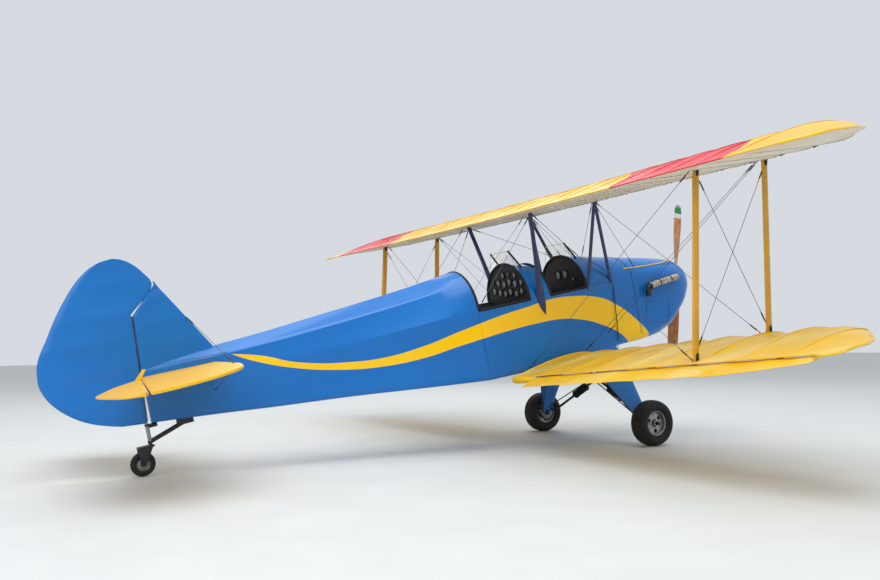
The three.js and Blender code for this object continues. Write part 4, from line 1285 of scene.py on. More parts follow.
def fastener_spots():
    """Where the forward skin's screws are, on both sides, and the way each one faces."""
    spots = [(on_side(SCREW_X, z, COWL), ACROSS) for z in spread(1.02, 1.56, 9)]
    spots += [(on_arch(SCREW_X, turn, COWL), (0, cos(turn), sin(turn))) for turn in spread(0.15, 1.45, 8)]
    spots += [(on_side(x, z, COWL), ACROSS) for x, z in DOOR_SCREWS]
    spots += [(on_side(x, 1.585), ACROSS) for x in spread(-1.30, 0.55, 22)]
    spots += [(on_side(x, 0.985), ACROSS) for x in spread(-1.32, 0.55, 26)]
    return [(to_side(spot, side), to_side(way, side)) for side in (1, -1) for spot, way in spots]


swept("skin_seams", seam_runs(), black_paint, sides=6, slot="black_metal")
studs("skin_fasteners", fastener_spots(), bare_steel, 0.0045, 0.0026, slot="bare_steel")
# x, angle up from the port side of the cowling's hinge
HINGE_TURNS = [(0.52, 0.42), (0.70, 0.468), (0.90, 0.566), (1.10, 0.712), (1.30, 0.955)]
hinge_line = [
    on_arch(x, between(x, HINGE_TURNS), COWL if x > 0.59 else FRONT_HULL, 0.004)
    for x in spread(0.52, 1.33, 26)
]
paired("cowl_hinge_strips", hinge_line, 0.0065, edge_paint, "yellow_metal")
paired("cabane_side_rods", [(0.316, 0.374, 1.56), (0.255, 0.379, 0.99)], 0.0045, black_paint, "black_metal")
fitting = Shape()
for way in (-1, 1):
    fitting.box((0.205, way * 0.374 - 0.008, 0.915), (0.245, way * 0.374 + 0.008, 0.943))
piece("white_side_fittings", fitting, white_paint, bevel=0.002)
pushrod = [(-0.600, 0.352, 0.912), (-0.841, 0.410, 0.925), (-1.020, 0.620, 0.905)]
paired("flaperon_pushrods", pushrod, 0.007, black_paint, "black_metal")


# Fin and rudder

# (x, z) of the lowest and highest point of the rudder's hinge line
RUDDER_LOW, RUDDER_HIGH = (-4.379, 1.304), (-4.343, 2.144)
# z, front edge of the fin
FIN_FRONT = [(1.69, -3.683), (1.80, -3.750), (2.10, -3.933), (2.25, -4.025), (2.37, -4.098), (2.385, -4.104)]
# z, rear edge of the rudder
RUDDER_REAR = [
    (1.292, -4.400), (1.300, -4.500), (1.331, -4.622), (1.390, -4.770), (1.466, -4.885), (1.568, -4.985),
    (1.667, -5.043), (1.764, -5.067), (1.876, -5.057), (1.947, -5.033), (2.082, -4.954), (2.233, -4.864),
    (2.376, -4.761), (2.471, -4.679), (2.555, -4.577), (2.601, -4.473), (2.612, -4.400),
]
# z, front edge of the rudder's horn
HORN_FRONT = [
    (2.144, -4.335), (2.376, -4.124), (2.471, -4.176), (2.555, -4.252), (2.601, -4.330), (2.612, -4.380),
]


def hinge_x(z):
    """The rudder's hinge line at a height."""
    (low_x, low_z), (high_x, high_z) = RUDDER_LOW, RUDDER_HIGH
    return low_x + (z - low_z) * (high_x - low_x) / (high_z - low_z)


def horn_gap_x(z):
    """The slanted gap in front of the rudder's horn at a height."""
    return RUDDER_HIGH[0] + (z - RUDDER_HIGH[1]) * 0.951


def tube_edged(front, rear, z, nose, tail, dip):
    """A flat surface's section: a tube at the front and the rear, and fabric drawn between them."""
    length = front - rear
    shares = (0.88, 0.7, 0.5, 0.3, 0.12)
    skin = [(front - length * s, nose + (tail - nose) * s - dip * sin(pi * s)) for s in shares]
    ring = [(front - nose + nose * sin(t), nose * cos(t)) for t in spread(0, pi, 7)]
    ring += [(x, -y) for x, y in reversed(skin)]
    ring += [(rear + tail - tail * sin(t), -tail * cos(t)) for t in spread(0, pi, 5)]
    return [(x, y, z) for x, y in ring + skin]


# Distance from the hinge line forward to the fin's rear edge, and to the strips in front of the rudder: its
# foot tube and a black strip of painted shade in the hinge gap
HINGE_GAP, STRIP_AHEAD = 0.028, 0.0235


# Heights of the ribs
FIN_RIBS = [1.69, 1.88, 2.07, 2.25, 2.37]
RUDDER_RIBS = [1.30, 1.52, 1.76, 1.98, 2.20, 2.42, 2.61]


def fin():
    rings = []
    for z in spread(1.665, 2.385, 40):
        front = between(z, FIN_FRONT)
        rear = (hinge_x(z) if z <= RUDDER_HIGH[1] else horn_gap_x(z)) + HINGE_GAP
        half = 0.015 if z < 2.3 else 0.009
        dip = 0.004 * bay_dip(z, FIN_RIBS)
        rings.append(tube_edged(front, min(rear, front - 0.012), z, half, half, dip))
    return Shape().loft(rings)


def rudder():
    rings = []
    for z in spread(1.292, 2.144, 52):
        rear = between(z, RUDDER_REAR)
        rings.append(tube_edged(hinge_x(z) + 0.019, rear, z, 0.019, 0.007, 0.005 * bay_dip(z, RUDDER_RIBS)))
    for z in spread(2.152, 2.612, 40):
        front, rear = between(z, HORN_FRONT), between(z, RUDDER_REAR)
        blunt = 0.019 - 0.009 * min((z - 2.152) / 0.1, 1.0)
        dip = 0.004 * bay_dip(z, RUDDER_RIBS)
        rings.append(tube_edged(front, min(rear, front - 0.02), z, blunt, 0.007, dip))
    return Shape().loft(rings)


for name, heights, finish, slot in (
    ("rudder_foot_tube", (1.300, 1.45, 1.60), bare_steel, "bare_steel"),
    # A black strip that paints the shade in the hinge gap between fin and rudder
    ("rudder_gap_strip", (1.66, 1.80, 1.95, 2.10, 2.140), black_rubber, "black_metal"),
):
    swept(name, [plain([(hinge_x(z) + STRIP_AHEAD, 0.0, z) for z in heights], 0.0042)], finish, slot=slot)
piece("fin_skin", fin(), plain_blue, replaces=("fin",), sharp=45)
piece("rudder_skin", rudder(), plain_blue, "rudder", ("rudder",), sharp=45)


# Tailplane and elevators

# Height of the tailplane and half its thickness
TAIL_Z, TAIL_HALF = 1.640, 0.019
# (x, y) of the elevator hinge line's inner end, and how far aft it goes for each metre out
ELEVATOR_ROOT, ELEVATOR_SWEEP = (-4.395, 0.150), 0.137
# Distance out, front edge, share of the full thickness
STAB_FRONT = [
    (0.045, -3.755, 1.0), (0.75, -3.762, 1.0), (0.98, -3.800, 0.95), (1.13, -3.872, 0.9), (1.33, -4.070, 0.8),
    (1.43, -4.230, 0.75), (1.485, -4.400, 0.7), (1.50, -4.490, 0.65),
]
# Distance out, rear edge, share of the full thickness
ELEVATOR_REAR = [
    (0.15, -4.442, 1.0), (0.24, -4.500, 1.0), (0.37, -4.600, 1.0), (0.59, -4.700, 1.0), (0.90, -4.800, 1.0),
    (1.21, -4.752, 0.9), (1.40, -4.705, 0.8), (1.465, -4.665, 0.7), (1.485, -4.630, 0.65),
]
TAIL_RIBS = [0.045, 0.30, 0.60, 0.90, 1.17, 1.35, 1.485]


def elevator_axis(y):
    """The hinge line at a distance out on the port side."""
    return Vector((ELEVATOR_ROOT[0] - (y - ELEVATOR_ROOT[1]) * ELEVATOR_SWEEP, y, TAIL_Z))


def laid_flat(ring, y):
    """Turns an upright section into one of the tailplane."""
    return [(x, y, TAIL_Z + up) for x, up, _ in ring]


def stabiliser(side):
    rings = []
    for y in spread(0.02, 1.497, 62):
        thin = between(y, STAB_FRONT, 2)
        front, rear = between(y, STAB_FRONT), elevator_axis(y).x + 0.026
        half = TAIL_HALF * thin * 0.9
        dip = 0.004 * bay_dip(y, TAIL_RIBS)
        rings.append(laid_flat(tube_edged(front, min(rear, front - 0.02), 0, half, half * 0.8, dip), y))
    return Shape().loft(rings).on(side)


def elevator(side):
    rings = []
    for y in spread(0.150, 1.485, 58):
        thin = between(y, ELEVATOR_REAR, 2)
        front, rear = elevator_axis(y).x + TAIL_HALF * thin, between(y, ELEVATOR_REAR)
        dip = 0.003 * bay_dip(y, TAIL_RIBS)
        rings.append(laid_flat(tube_edged(front, rear, 0, TAIL_HALF * thin, 0.007, dip), y))
    return Shape().loft(rings).on(side)


def elevator_horn(side):
    """A flat arm standing on the elevator, with the cable's shackle at its top."""
    arm = [(-4.452, -0.330, 1.652), (-4.404, -0.330, 1.652), (-4.356, -0.330, 1.728), (-4.376, -0.330, 1.731)]
    shape = Shape()
    for shift in (-0.012, 0.008):
        shape.plate([Vector(p) + Vector((0, shift, 0)) for p in arm], (0, 0.004, 0))
    shape.tube([(-4.362, -0.346, 1.720), (-4.362, -0.314, 1.720)], 0.005, sides=8)
    return shape.on(-side)


cable = [(-4.345, 0.330, 1.721), (-4.192, 0.250, 1.732), (-3.891, 0.120, 1.718), (-3.640, 0.088, 1.712)]
paired("elevator_cables", smooth_path(cable, 16), 0.0022, stay_steel, "bare_steel")
for label, side in SIDES:
    body = f"elevator_{label}"
    piece(f"elevator_horn_{label}", elevator_horn(side), edge_paint, body, bevel=0.0008)
    piece(
        f"stabiliser_{label}_skin", stabiliser(side), tail_fabric,
        replaces=(f"stabiliser_{label}",), sharp=45,
    )
    piece(f"elevator_{label}_skin", elevator(side), tail_fabric, body, (body,), sharp=45)


# Struts between the wings and over the fuselage

STRUT_Y = 2.590
CABANE_Y = 0.552
# Foot x, foot height, head x, head height
STRUTS = {"front": (-0.192, 1.128, 0.093, 2.440), "rear": (-1.020, 1.088, -0.684, 2.440)}


def strut_ends(place):
    """A strut's foot and head on the port side, and the way from one to the other."""
    foot_x, foot_z, head_x, head_z = STRUTS[place]
    foot, head = Vector((foot_x, STRUT_Y, foot_z)), Vector((head_x, STRUT_Y, head_z))
    return foot, head, (head - foot).normalized()


def strut(place, side):
    """A streamlined strut that narrows to a fork and bolt at each end."""
    foot, head, along = strut_ends(place)
    tip, neck, full = (0.040, 0.024), (0.060, 0.027), (0.072, 0.028)
    stations = [(foot - along * 0.030, *tip), (foot, *neck), (foot + along * 0.05, *full)]
    stations += [(foot + along * at, *full) for at in spread(0.1, (head - foot).length - 0.1, 6)]
    stations += [(head - along * 0.05, *full), (head, *neck), (head + along * 0.030, *tip)]
    return Shape().fairing(stations).on(side)


def strut_fittings(place, side):
    """Fork plates and a cross bolt where a strut meets each wing."""
    foot, head, along = strut_ends(place)
    outline = ((0.045, -0.012), (0.045, 0.012), (-0.035, 0.020), (-0.035, -0.020))
    reach = Vector((0, 0.024, 0))
    shape = Shape()
    for end, way in ((foot, 1), (head, -1)):
        for across in (-1, 1):
            plate = [end + along * (way * a) + Vector((b, across * 0.0155, 0)) for a, b in outline]
            shape.plate(plate, (0, across * 0.003, 0))
        bolt = end + along * (way * 0.02)
        shape.tube([bolt - reach, bolt + reach], 0.007, sides=6)
        base = end.z - 0.030 * way
        shape.box((end.x - 0.035, end.y - 0.022, base - 0.002), (end.x + 0.035, end.y + 0.022, base + 0.002))
    return shape.on(side)


def front_cabane(side):
    """Two faired legs that meet under the upper wing."""
    shape = Shape()
    apex = Vector((0.109, CABANE_Y, 2.450))
    for foot_x in (0.316, -0.012):
        foot = Vector((foot_x, 0.352, 1.560))
        along = (apex - foot).normalized()
        stations = [(foot, 0.030, 0.018), (foot + along * 0.06, 0.044, 0.022)]
        stations += [(foot + along * at, 0.046, 0.022) for at in spread(0.12, (apex - foot).length - 0.08, 5)]
        shape.fairing(stations + [(apex, 0.034, 0.020)])
    shape.tube([(0.109 - 0.03, CABANE_Y, 2.432), (0.109 + 0.03, CABANE_Y, 2.432)], 0.014)
    return shape.on(side)


# Height along the rear cabane strut, chord
CABANE_LEAF = [
    (1.430, 0.006), (1.455, 0.030), (1.490, 0.062), (1.530, 0.086), (1.570, 0.102), (1.610, 0.108),
    (1.660, 0.104), (1.720, 0.092), (1.800, 0.076), (1.900, 0.064), (2.050, 0.056), (2.440, 0.050),
]


def rear_cabane(side):
    """A faired strut whose foot widens to a pointed leaf on the fuselage side."""
    foot, bend, head = 1.430, 1.62, 2.440
    stations = []
    for z in spread(foot, bend, 14) + spread(1.66, head, 22):
        t = max((z - bend) / (head - bend), 0.0)
        place = (-0.597 - 0.106 * (z - foot) / (head - foot), 0.366 + (CABANE_Y - 0.366) * t, z)
        stations.append((place, between(z, CABANE_LEAF), 0.010 + 0.014 * min(t * 6, 1)))
    return Shape().fairing(stations).on(side)


for label, side in SIDES:
    for place in STRUTS:
        name = f"{place}_strut_{label}"
        piece(f"{name}_bar", strut(place, side), strut_paint, replaces=(name,), sharp=50)
        piece(
            f"{name}_fittings", strut_fittings(place, side), black_paint, bevel=0.0008,
        )
    for place, ending, shape in (("front", "legs", front_cabane(side)), ("rear", "leg", rear_cabane(side))):
        name = f"{place}_cabane_{label}"
        piece(f"{name}_{ending}", shape, cabane_blue, replaces=(name,), sharp=50)


# Instrument panels and windshields

def arch_plate(x, inset, foot):
    """A panel that fills the fuselage arch at x, down to a straight foot."""
    half, _, shoulder, crown, _ = row_at(x, FRONT_HULL)
    half, crown = half - inset, crown - inset
    outline = [(half, foot)] + arch(half, shoulder, crown, spread(0, pi, 41)) + [(-half, foot)]
    return Shape().plate([(x, y, z) for y, z in outline], (0.006, 0, 0))


# Across, up from the panel's foot line, radius and hand angle of each dial
REAR_DIALS = [
    (0.030, 1.872, 0.036, 0.6), (-0.066, 1.880, 0.028, 2.2), (-0.172, 1.862, 0.034, 1.2),
    (0.125, 1.800, 0.040, 2.8), (0.030, 1.782, 0.042, 0.2), (-0.064, 1.800, 0.040, 1.9),
    (-0.162, 1.778, 0.042, 2.5), (-0.262, 1.785, 0.034, 0.9), (0.215, 1.720, 0.040, 1.5),
    (0.120, 1.700, 0.040, 2.0), (0.028, 1.688, 0.038, 0.4), (-0.062, 1.702, 0.040, 2.6),
    (-0.160, 1.680, 0.038, 1.0), (-0.252, 1.700, 0.036, 3.0), (0.215, 1.810, 0.024, 2.0),
]
FRONT_DIALS = [(-0.060, 1.762, 0.045, 1.1), (0.055, 1.758, 0.045, 2.3), (-0.180, 1.700, 0.026, 0.4)]


def dials(panel_x, rows):
    """Bezels, and flat faces whose points know their place on the dial and its hand's angle."""
    bezels, faces = Shape(), Shape()
    spots, hands = [], []
    for y, z, radius, hand in rows:
        lip, throat = radius - 0.003, radius - 0.008
        profile = [(0.0, radius), (0.010, radius), (0.013, lip), (0.011, throat), (0.004, throat)]
        bezels.lathe((panel_x, y, z), (-1, 0, 0), profile, sides=28)
        inner, face_x = radius - 0.0078, panel_x - 0.006
        ring = [(face_x, y + inner * cos(t), z + inner * sin(t)) for t in spread(0, 2 * pi, 29)[:-1]]
        first = len(faces.points)
        faces.add([(face_x, y, z)] + ring, [(0, 1 + i, 1 + (i + 1) % 28) for i in range(28)])
        for point in faces.points[first:]:
            spots.append((0.0, -(point.y - y) / inner, (point.z - z) / inner))
            hands.append(hand)
    return bezels, faces, spots, hands


def dial_faces(name, faces, spots, hands):
    """The dials of one panel as a piece, with each point's spot and hand stored for the finish."""
    mesh = bpy.data.meshes.new(name)
    mesh.from_pydata(faces.points, [], faces.faces)
    mesh.materials.append(dial_finish.material)
    place = mesh.attributes.new("dial_spot", "FLOAT_VECTOR", "POINT")
    place.data.foreach_set("vector", [c for spot in spots for c in spot])
    hand = mesh.attributes.new("dial_hand", "FLOAT", "POINT")
    hand.data.foreach_set("value", hands)
    placed(name, mesh, slot="panel_black")


for label, panel_x, rows in (("rear", REAR_PANEL_X, REAR_DIALS), ("front", FRONT_PANEL_X, FRONT_DIALS)):
    piece(
        f"{label}_panel", arch_plate(panel_x, 0.0135, 1.48), panel_black,
        replaces=(f"{label}_instrument_panel",), sharp=30,
    )
    bezels, faces, spots, hands = dials(panel_x, rows)
    piece(f"{label}_dial_bezels", bezels, black_paint)
    dial_faces(f"{label}_dials", faces, spots, hands)


# Base x and height, panel x, coaming height
WINDSHIELDS = {"rear": (-0.625, 1.940, REAR_PANEL_X, 1.850), "front": (0.085, 1.915, FRONT_PANEL_X, 1.830)}
RAKE, SCREEN_HEIGHT = 0.140, 0.165


def windshield(place):
    """A flat middle pane with a three-sided pane each way."""
    base_x, base_z, panel_x, coaming = WINDSHIELDS[place]
    shape = Shape()
    foot = [Vector((base_x, s * 0.165, base_z - 0.045)) for s in (-1, 1)]
    head = [Vector((base_x - RAKE, s * 0.150, base_z + SCREEN_HEIGHT)) for s in (-1, 1)]
    shape.plate([foot[0], foot[1], head[1], head[0]], (-0.003, 0, -0.002))
    for k, s in enumerate((-1, 1)):
        rear = Vector((panel_x + 0.010, s * 0.262, coaming))
        shape.plate([foot[k], head[k], rear], (0, -s * 0.003, 0))
    return shape


def windshield_frame(place):
    """Thick black strips up both corners, and a bead round the side panes' feet."""
    base_x, base_z, panel_x, coaming = WINDSHIELDS[place]
    shape = Shape()
    for s in (-1, 1):
        foot = Vector((base_x + 0.006, s * 0.171, base_z - 0.050))
        head = Vector((base_x - RAKE + 0.004, s * 0.156, base_z + SCREEN_HEIGHT + 0.004))
        rear = Vector((panel_x + 0.012, s * 0.265, coaming))
        shape.tube([foot, head], 0.0095, sides=10)
        shape.tube([foot, (foot + rear) / 2 + Vector((0, s * 0.006, 0.010)), rear], 0.005, sides=8)
    return shape


def pane_edges(place):
    """The polished edges of the panes, across the top and down each side."""
    base_x, base_z, panel_x, coaming = WINDSHIELDS[place]
    heads = [Vector((base_x - RAKE, s * 0.152, base_z + SCREEN_HEIGHT)) for s in (-1, 1)]
    runs = [plain(heads, 0.0030)]
    for s, head in zip((-1, 1), heads):
        runs.append(plain([head, (panel_x + 0.012, s * 0.262, coaming)], 0.0022))
    return runs


for place in WINDSHIELDS:
    name = f"{place}_windshield"
    piece(f"{name}_panes", windshield(place), pane, replaces=(name,), sharp=30)
    strips = windshield_frame(place)
    piece(f"{name}_strips", strips, black_rubber, replaces=(f"{name}_frame",))
    swept(f"{name}_edges", pane_edges(place), pane_edge, sides=6, slot="clear_pane")


def cockpit_trim(rear_x, front_x):
    """A black bead round a cockpit's edge: over both arches and along both rails."""
    turns = spread(0, pi, 33)
    loop = []
    for x, order in ((rear_x, turns), (front_x, turns[::-1])):
        half, _, shoulder, crown, _ = row_at(x, FRONT_HULL)
        loop += [Vector((x, y, z)) for y, z in arch(half, shoulder, crown, order)]
    path = []
    for a, b in zip(loop, loop[1:] + loop[:1]):
        path += [a + (b - a) * t for t in ((0.0,) if (b - a).length < 0.08 else spread(0, 0.95, 8))]
    return Shape().tube(path + path[:1], 0.0135, sides=10, ends=(False, False))


piece("rear_cockpit_trim", cockpit_trim(ARCH_X, REAR_PANEL_X - 0.003), black_rubber)
piece("front_cockpit_trim", cockpit_trim(MID_DECK_X, FRONT_PANEL_X - 0.003), black_rubber)


# Propeller, hub, exhaust and engine

# x of the propeller's disc, and its angle at rest in degrees
DISC_X, PROPELLER_TURN = 1.575, 16.0
# radius, chord, thickness, pitch
BLADE = [
    (0.0, 0.130, 0.075, 62), (0.06, 0.118, 0.066, 58), (0.13, 0.100, 0.055, 48), (0.22, 0.106, 0.042, 37),
    (0.33, 0.122, 0.032, 28), (0.45, 0.132, 0.025, 20), (0.56, 0.136, 0.020, 15), (0.68, 0.136, 0.016, 12),
    (0.76, 0.130, 0.013, 10), (0.84, 0.118, 0.010, 9), (0.88, 0.102, 0.008, 9), (0.905, 0.074, 0.007, 9),
    (0.915, 0.026, 0.005, 9),
]


def blades():
    """Both blades, as one run of sections each from the middle out."""
    shape = Shape()
    for way in (-1, 1):
        rings = []
        for radius in spread(0.0, 0.915, 46):
            chord, thick, pitch = row_at(radius, BLADE)
            lean = radians(90 - pitch)
            ring = []
            for t in spread(0, 2 * pi, 25)[:-1]:
                u, v = 0.5 * cos(t), 0.5 * sin(t) * (0.62 + 0.38 * cos(t - 0.6))
                ring.append((
                    u * chord * cos(lean) + v * thick * sin(lean),
                    way * (u * chord * sin(lean) - v * thick * cos(lean)),
                    way * radius,
                ))
            rings.append(ring)
        shape.loft(rings)
    return shape


def turned_propeller(shape):
    """Puts a shape drawn about the origin at the propeller's place and angle."""
    turn = Matrix.Translation((DISC_X, 0, THRUST_Z)) @ Matrix.Rotation(radians(PROPELLER_TURN), 4, "X")
    shape.points = [turn @ p for p in shape.points]
    return shape


def boss_plate():
    """The steel face plate with its ring of bolts."""
    face = [(0, 0.068), (0.006, 0.068), (0.008, 0.064), (0.008, CLOSED)]
    shape = Shape().lathe((0.045, 0, 0), (1, 0, 0), face)
    for k in range(6):
        y, z = 0.048 * cos(2 * pi * k / 6), 0.048 * sin(2 * pi * k / 6)
        shape.tube([(0.045, y, z), (0.060, y, z)], 0.009, sides=6)
    return shape


boss = [(-0.045, CLOSED), (-0.045, 0.068), (-0.041, 0.072), (0.041, 0.072), (0.045, 0.068), (0.045, CLOSED)]
wood_body = turned_propeller(blades().lathe((0, 0, 0), (1, 0, 0), boss))
piece("propeller_wood_body", wood_body, propeller_wood, "propeller", ("propeller",), sharp=40)
piece("propeller_plate", turned_propeller(boss_plate()), bare_steel, "propeller")

EXHAUST = [
    (1.225, -0.330, 1.500), (1.205, -0.392, 1.500), (1.170, -0.424, 1.500), (1.110, -0.432, 1.498),
    (0.960, -0.432, 1.488), (0.830, -0.430, 1.478), (0.775, -0.428, 1.470), (0.748, -0.426, 1.452),
    (0.738, -0.424, 1.424), (0.736, -0.424, 1.372),
]


def exhaust():
    """The wrapped pipe with its clamps, and a black end that is open at the foot."""
    path = smooth_path(EXHAUST, 48)
    shape = Shape().tube(path[:40], 0.035, sides=20)
    shape.tube(path[38:], 0.029, sides=20, ends=(True, False), finish=1)
    shape.tube(list(reversed(path[42:])), [0.029] + [0.025] * 5, sides=20, ends=(False, True), finish=1)
    for at in (4, 16, 28, 38):
        shape.tube(path[at:at + 2], 0.0375, sides=20, finish=1)
    return shape


piece(
    "exhaust_wrap", exhaust(), [exhaust_wrap, black_paint], replaces=("exhaust_pipe",),
)
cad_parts["engine_block"].material_slots[0].material = cast_alloy.material
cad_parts["propeller_hub"].material_slots[0].material = bare_steel.material


# Main gear

WHEEL_X, WHEEL_Z, HALF_TRACK = 0.0457, 0.2152, 0.875
WHEEL_RADIUS, WHEEL_WIDTH, RIM = 0.220, 0.190, 0.120
SHOCK_LOW, SHOCK_HIGH = Vector((0.150, 0.700, 0.250)), Vector((0.190, 0.040, 0.575))
# Front edge, rear edge, distance out and height of the leg's top and foot
LEG_TOP, LEG_FOOT = (0.235, -0.240, 0.345, 0.960), (0.100, -0.015, 0.790, 0.225)
LEG_HALF = 0.015
# Share of the half width, share of the height from rim to tread, up a tyre's wall
TYRE_WALL = [(0.74, 0.05), (0.90, 0.20), (0.97, 0.38), (0.97, 0.55), (0.88, 0.74), (0.72, 0.88), (0.50, 0.96)]


def gear_leg(side):
    """A flat faired leg, sharp at its rear and round at its front."""
    rings = []
    for t in spread(0, 1, 18):
        front, rear, y, z = (a + (b - a) * t for a, b in zip(LEG_TOP, LEG_FOOT))
        skin = [(front - (front - rear) * u, LEG_HALF * (1.0 - 0.75 * u)) for u in (0.85, 0.6, 0.3)]
        ring = [(front - 0.016 + 0.016 * sin(a), LEG_HALF * cos(a)) for a in spread(0, pi, 7)]
        ring += [(x, -aside) for x, aside in reversed(skin)] + [(rear, 0.0)] + skin
        rings.append([(x, y + aside, z) for x, aside in ring])
    return Shape().loft(rings).on(side)


def axle(side):
    """The stub axle with its collar, and the lug that the shock strut ends in."""
    collar = [(0, 0.026), (0.004, 0.030), (0.040, 0.030), (0.044, 0.026)]
    shape = Shape()
    shape.tube([(WHEEL_X, 0.760, WHEEL_Z), (WHEEL_X, HALF_TRACK + 0.098, WHEEL_Z)], 0.018, sides=20)
    shape.lathe((WHEEL_X, 0.765, WHEEL_Z), ACROSS, collar)
    shape.tube([SHOCK_LOW, (0.085, 0.765, 0.232)], 0.012, sides=10)
    return shape.on(side)


def tyre(centre, radius, width, rim, sides=64):
    """A round-shouldered tyre with a shallow centre groove."""
    half = width / 2
    wall = [(half * 0.60, rim - 0.006)] + [(half * out, rim + (radius - rim) * up) for out, up in TYRE_WALL]
    wall += [(half * 0.25, radius - 0.0015), (half * 0.06, radius), (half * 0.03, radius - 0.003)]
    section = [(-along, reach) for along, reach in wall] + wall[::-1]
    return Shape().lathe(centre, ACROSS, section + section[:1], sides=sides)


def wheel_rim(side):
    """A two-part alloy rim: rolled flanges, a dished disc with three round openings, and a bolted hub."""
    w = WHEEL_WIDTH / 2 * 0.62
    centre = Vector((WHEEL_X, HALF_TRACK, WHEEL_Z))
    turns = [2 * pi * k / 96 for k in range(96)]
    webs = [0.5 + pi / 3 + 2 * pi * j / 3 for j in range(3)]

    def disc_point(turn, radius, across):
        return centre + Vector((cos(turn) * radius, across, sin(turn) * radius))

    barrel = [
        (-w - 0.004, RIM - 0.003), (-w - 0.001, RIM - 0.0005), (w + 0.001, RIM - 0.0005),
        (w + 0.004, RIM - 0.003), (w + 0.002, RIM - 0.009), (w * 0.5, RIM - 0.016),
        (-w * 0.5, RIM - 0.016), (-w - 0.002, RIM - 0.009), (-w - 0.004, RIM - 0.003),
    ]
    hub = [
        (-w, 0.0192), (-w, 0.040), (-w * 0.3, 0.044), (w * 0.35, 0.044), (w * 0.9, 0.034), (w + 0.004, 0.032),
        (w + 0.006, 0.028), (w + 0.006, 0.0192), (-w, 0.0192),
    ]
    shape = Shape().lathe(centre, ACROSS, barrel).lathe(centre, ACROSS, hub)
    for face, dish in ((w * 0.42, 0.010), (-w * 0.42, -0.010)):
        for near, far in ((0.040, 0.058), (0.092, 0.107)):
            section = [(near, 0.0), (far, 0.0), (far, -0.004), (near, -0.004), (near, 0.0)]
            rings = []
            for r, thick in section:
                across = face + dish * (1 - (r - 0.04) / 0.065) + thick
                rings.append([disc_point(a, r, across) for a in turns])
            shape.loft(rings, ends=(False, False))
        for middle in webs:
            arc = spread(middle - 0.78, middle + 0.78, 17)
            web = [(a, 0.057) for a in arc] + [(a, 0.093) for a in reversed(arc)]
            shape.plate([disc_point(a, r, face + dish * 0.45 - 0.003) for a, r in web], (0, 0.004, 0))
    for middle in webs:
        bolt = [disc_point(middle, 0.082, across) for across in (w * 0.3, w * 0.42 + 0.016)]
        shape.tube(bolt, 0.006, sides=6)
    cap = [(0, 0.016), (0.012, 0.014), (0.014, 0.008), (0.014, CLOSED)]
    shape.lathe(centre + Vector((0, w + 0.006, 0)), ACROSS, cap)
    return shape.on(side)


def shock_strut(side):
    return Shape().tube([SHOCK_LOW, SHOCK_HIGH], 0.0135, sides=14).on(side)


def bungee_pack(side):
    """Turns of shock cord wound side by side round the strut, between two end plates."""
    start, end = SHOCK_LOW.lerp(SHOCK_HIGH, 0.50), SHOCK_LOW.lerp(SHOCK_HIGH, 0.76)
    length, along = (end - start).length, (end - start).normalized()
    turns, steps = 11, 6
    wound = [
        (length * k / (turns * steps), 0.031 + 0.010 * abs(sin(pi * k / steps)))
        for k in range(1, turns * steps)
    ]
    profile = [(0, CLOSED), (0, 0.03)] + wound + [(length, 0.03), (length, CLOSED)]
    shape = Shape().lathe(start, along, profile, sides=24)
    for place in (start, end):
        shape.lathe(place - along * 0.003, along, puck(0.008, 0.044), sides=24)
    return shape.on(side)


def gear_frame():
    """Two tubes down from the fuselage to the block in the middle."""
    shape = Shape()
    for s in (-1, 1):
        shape.tube([(0.190, s * 0.300, 0.950), (0.190, s * 0.02, 0.585)], 0.013, sides=12)
    return shape.box((0.165, -0.045, 0.560), (0.215, 0.045, 0.600))


def brake(side):
    """A drum inboard of the wheel, with its back plate and cable arm."""
    drum = [(0.0, 0.020), (0.0, 0.070), (0.004, 0.076), (0.022, 0.076), (0.022, 0.020)]
    shape = Shape().lathe((WHEEL_X, 0.788, WHEEL_Z), ACROSS, drum)
    shape.box((WHEEL_X - 0.090, 0.780, WHEEL_Z + 0.030), (WHEEL_X - 0.035, 0.788, WHEEL_Z + 0.052))
    return shape.on(side)


def gear_lines():
    """The black edge down each leg, the light second brace and the brake pipe, on both sides."""
    edge = [(-0.240, 0.345, 0.960), (-0.128, 0.567, 0.592), (-0.015, 0.790, 0.225)]
    brace = [(0.120, 0.050, 0.590), (0.010, 0.700, 0.290)]
    pipe = [(0.060, 0.360, 0.930), (-0.010, 0.480, 0.700), (-0.060, 0.640, 0.440), (-0.020, 0.760, 0.262)]
    runs = []
    for points, radius in ((edge, 0.0065), (brace, 0.006), (smooth_path(pipe, 20), 0.003)):
        runs += [plain(run, radius) for run in both_ways(points)]
    return runs


swept("gear_leg_lines", gear_lines(), black_paint, slot="black_metal")
piece(
    "gear_frame_tubes", gear_frame(), black_paint, replaces=("gear_centre_frame",),
    bevel=0.002,
)
for label, side in SIDES:
    body = f"wheel_{label}"
    piece(
        f"gear_leg_{label}_fairing", gear_leg(side), plain_blue,
        replaces=(f"gear_leg_{label}",), sharp=35,
    )
    piece(f"axle_{label}", axle(side), black_paint)
    piece(f"brake_{label}", brake(side), cast_alloy)
    piece(
        f"shock_strut_{label}_tube", shock_strut(side), black_paint,
        replaces=(f"shock_strut_{label}",),
    )
    piece(f"shock_cord_{label}", bungee_pack(side), black_rubber, sharp=70)
    rubber_ring = tyre((WHEEL_X, side * HALF_TRACK, WHEEL_Z), WHEEL_RADIUS, WHEEL_WIDTH, RIM)
    piece(f"tyre_{label}_rubber", rubber_ring, rubber, body, (f"tyre_{label}",), sharp=60)
    piece(f"{body}_rim", wheel_rim(side), wheel_alloy, body, (f"wheel_hub_{label}",), sharp=35)


# Tail gear

TAIL_WHEEL = Vector((-4.452, 0, 0.985))
STEER_X = -4.368


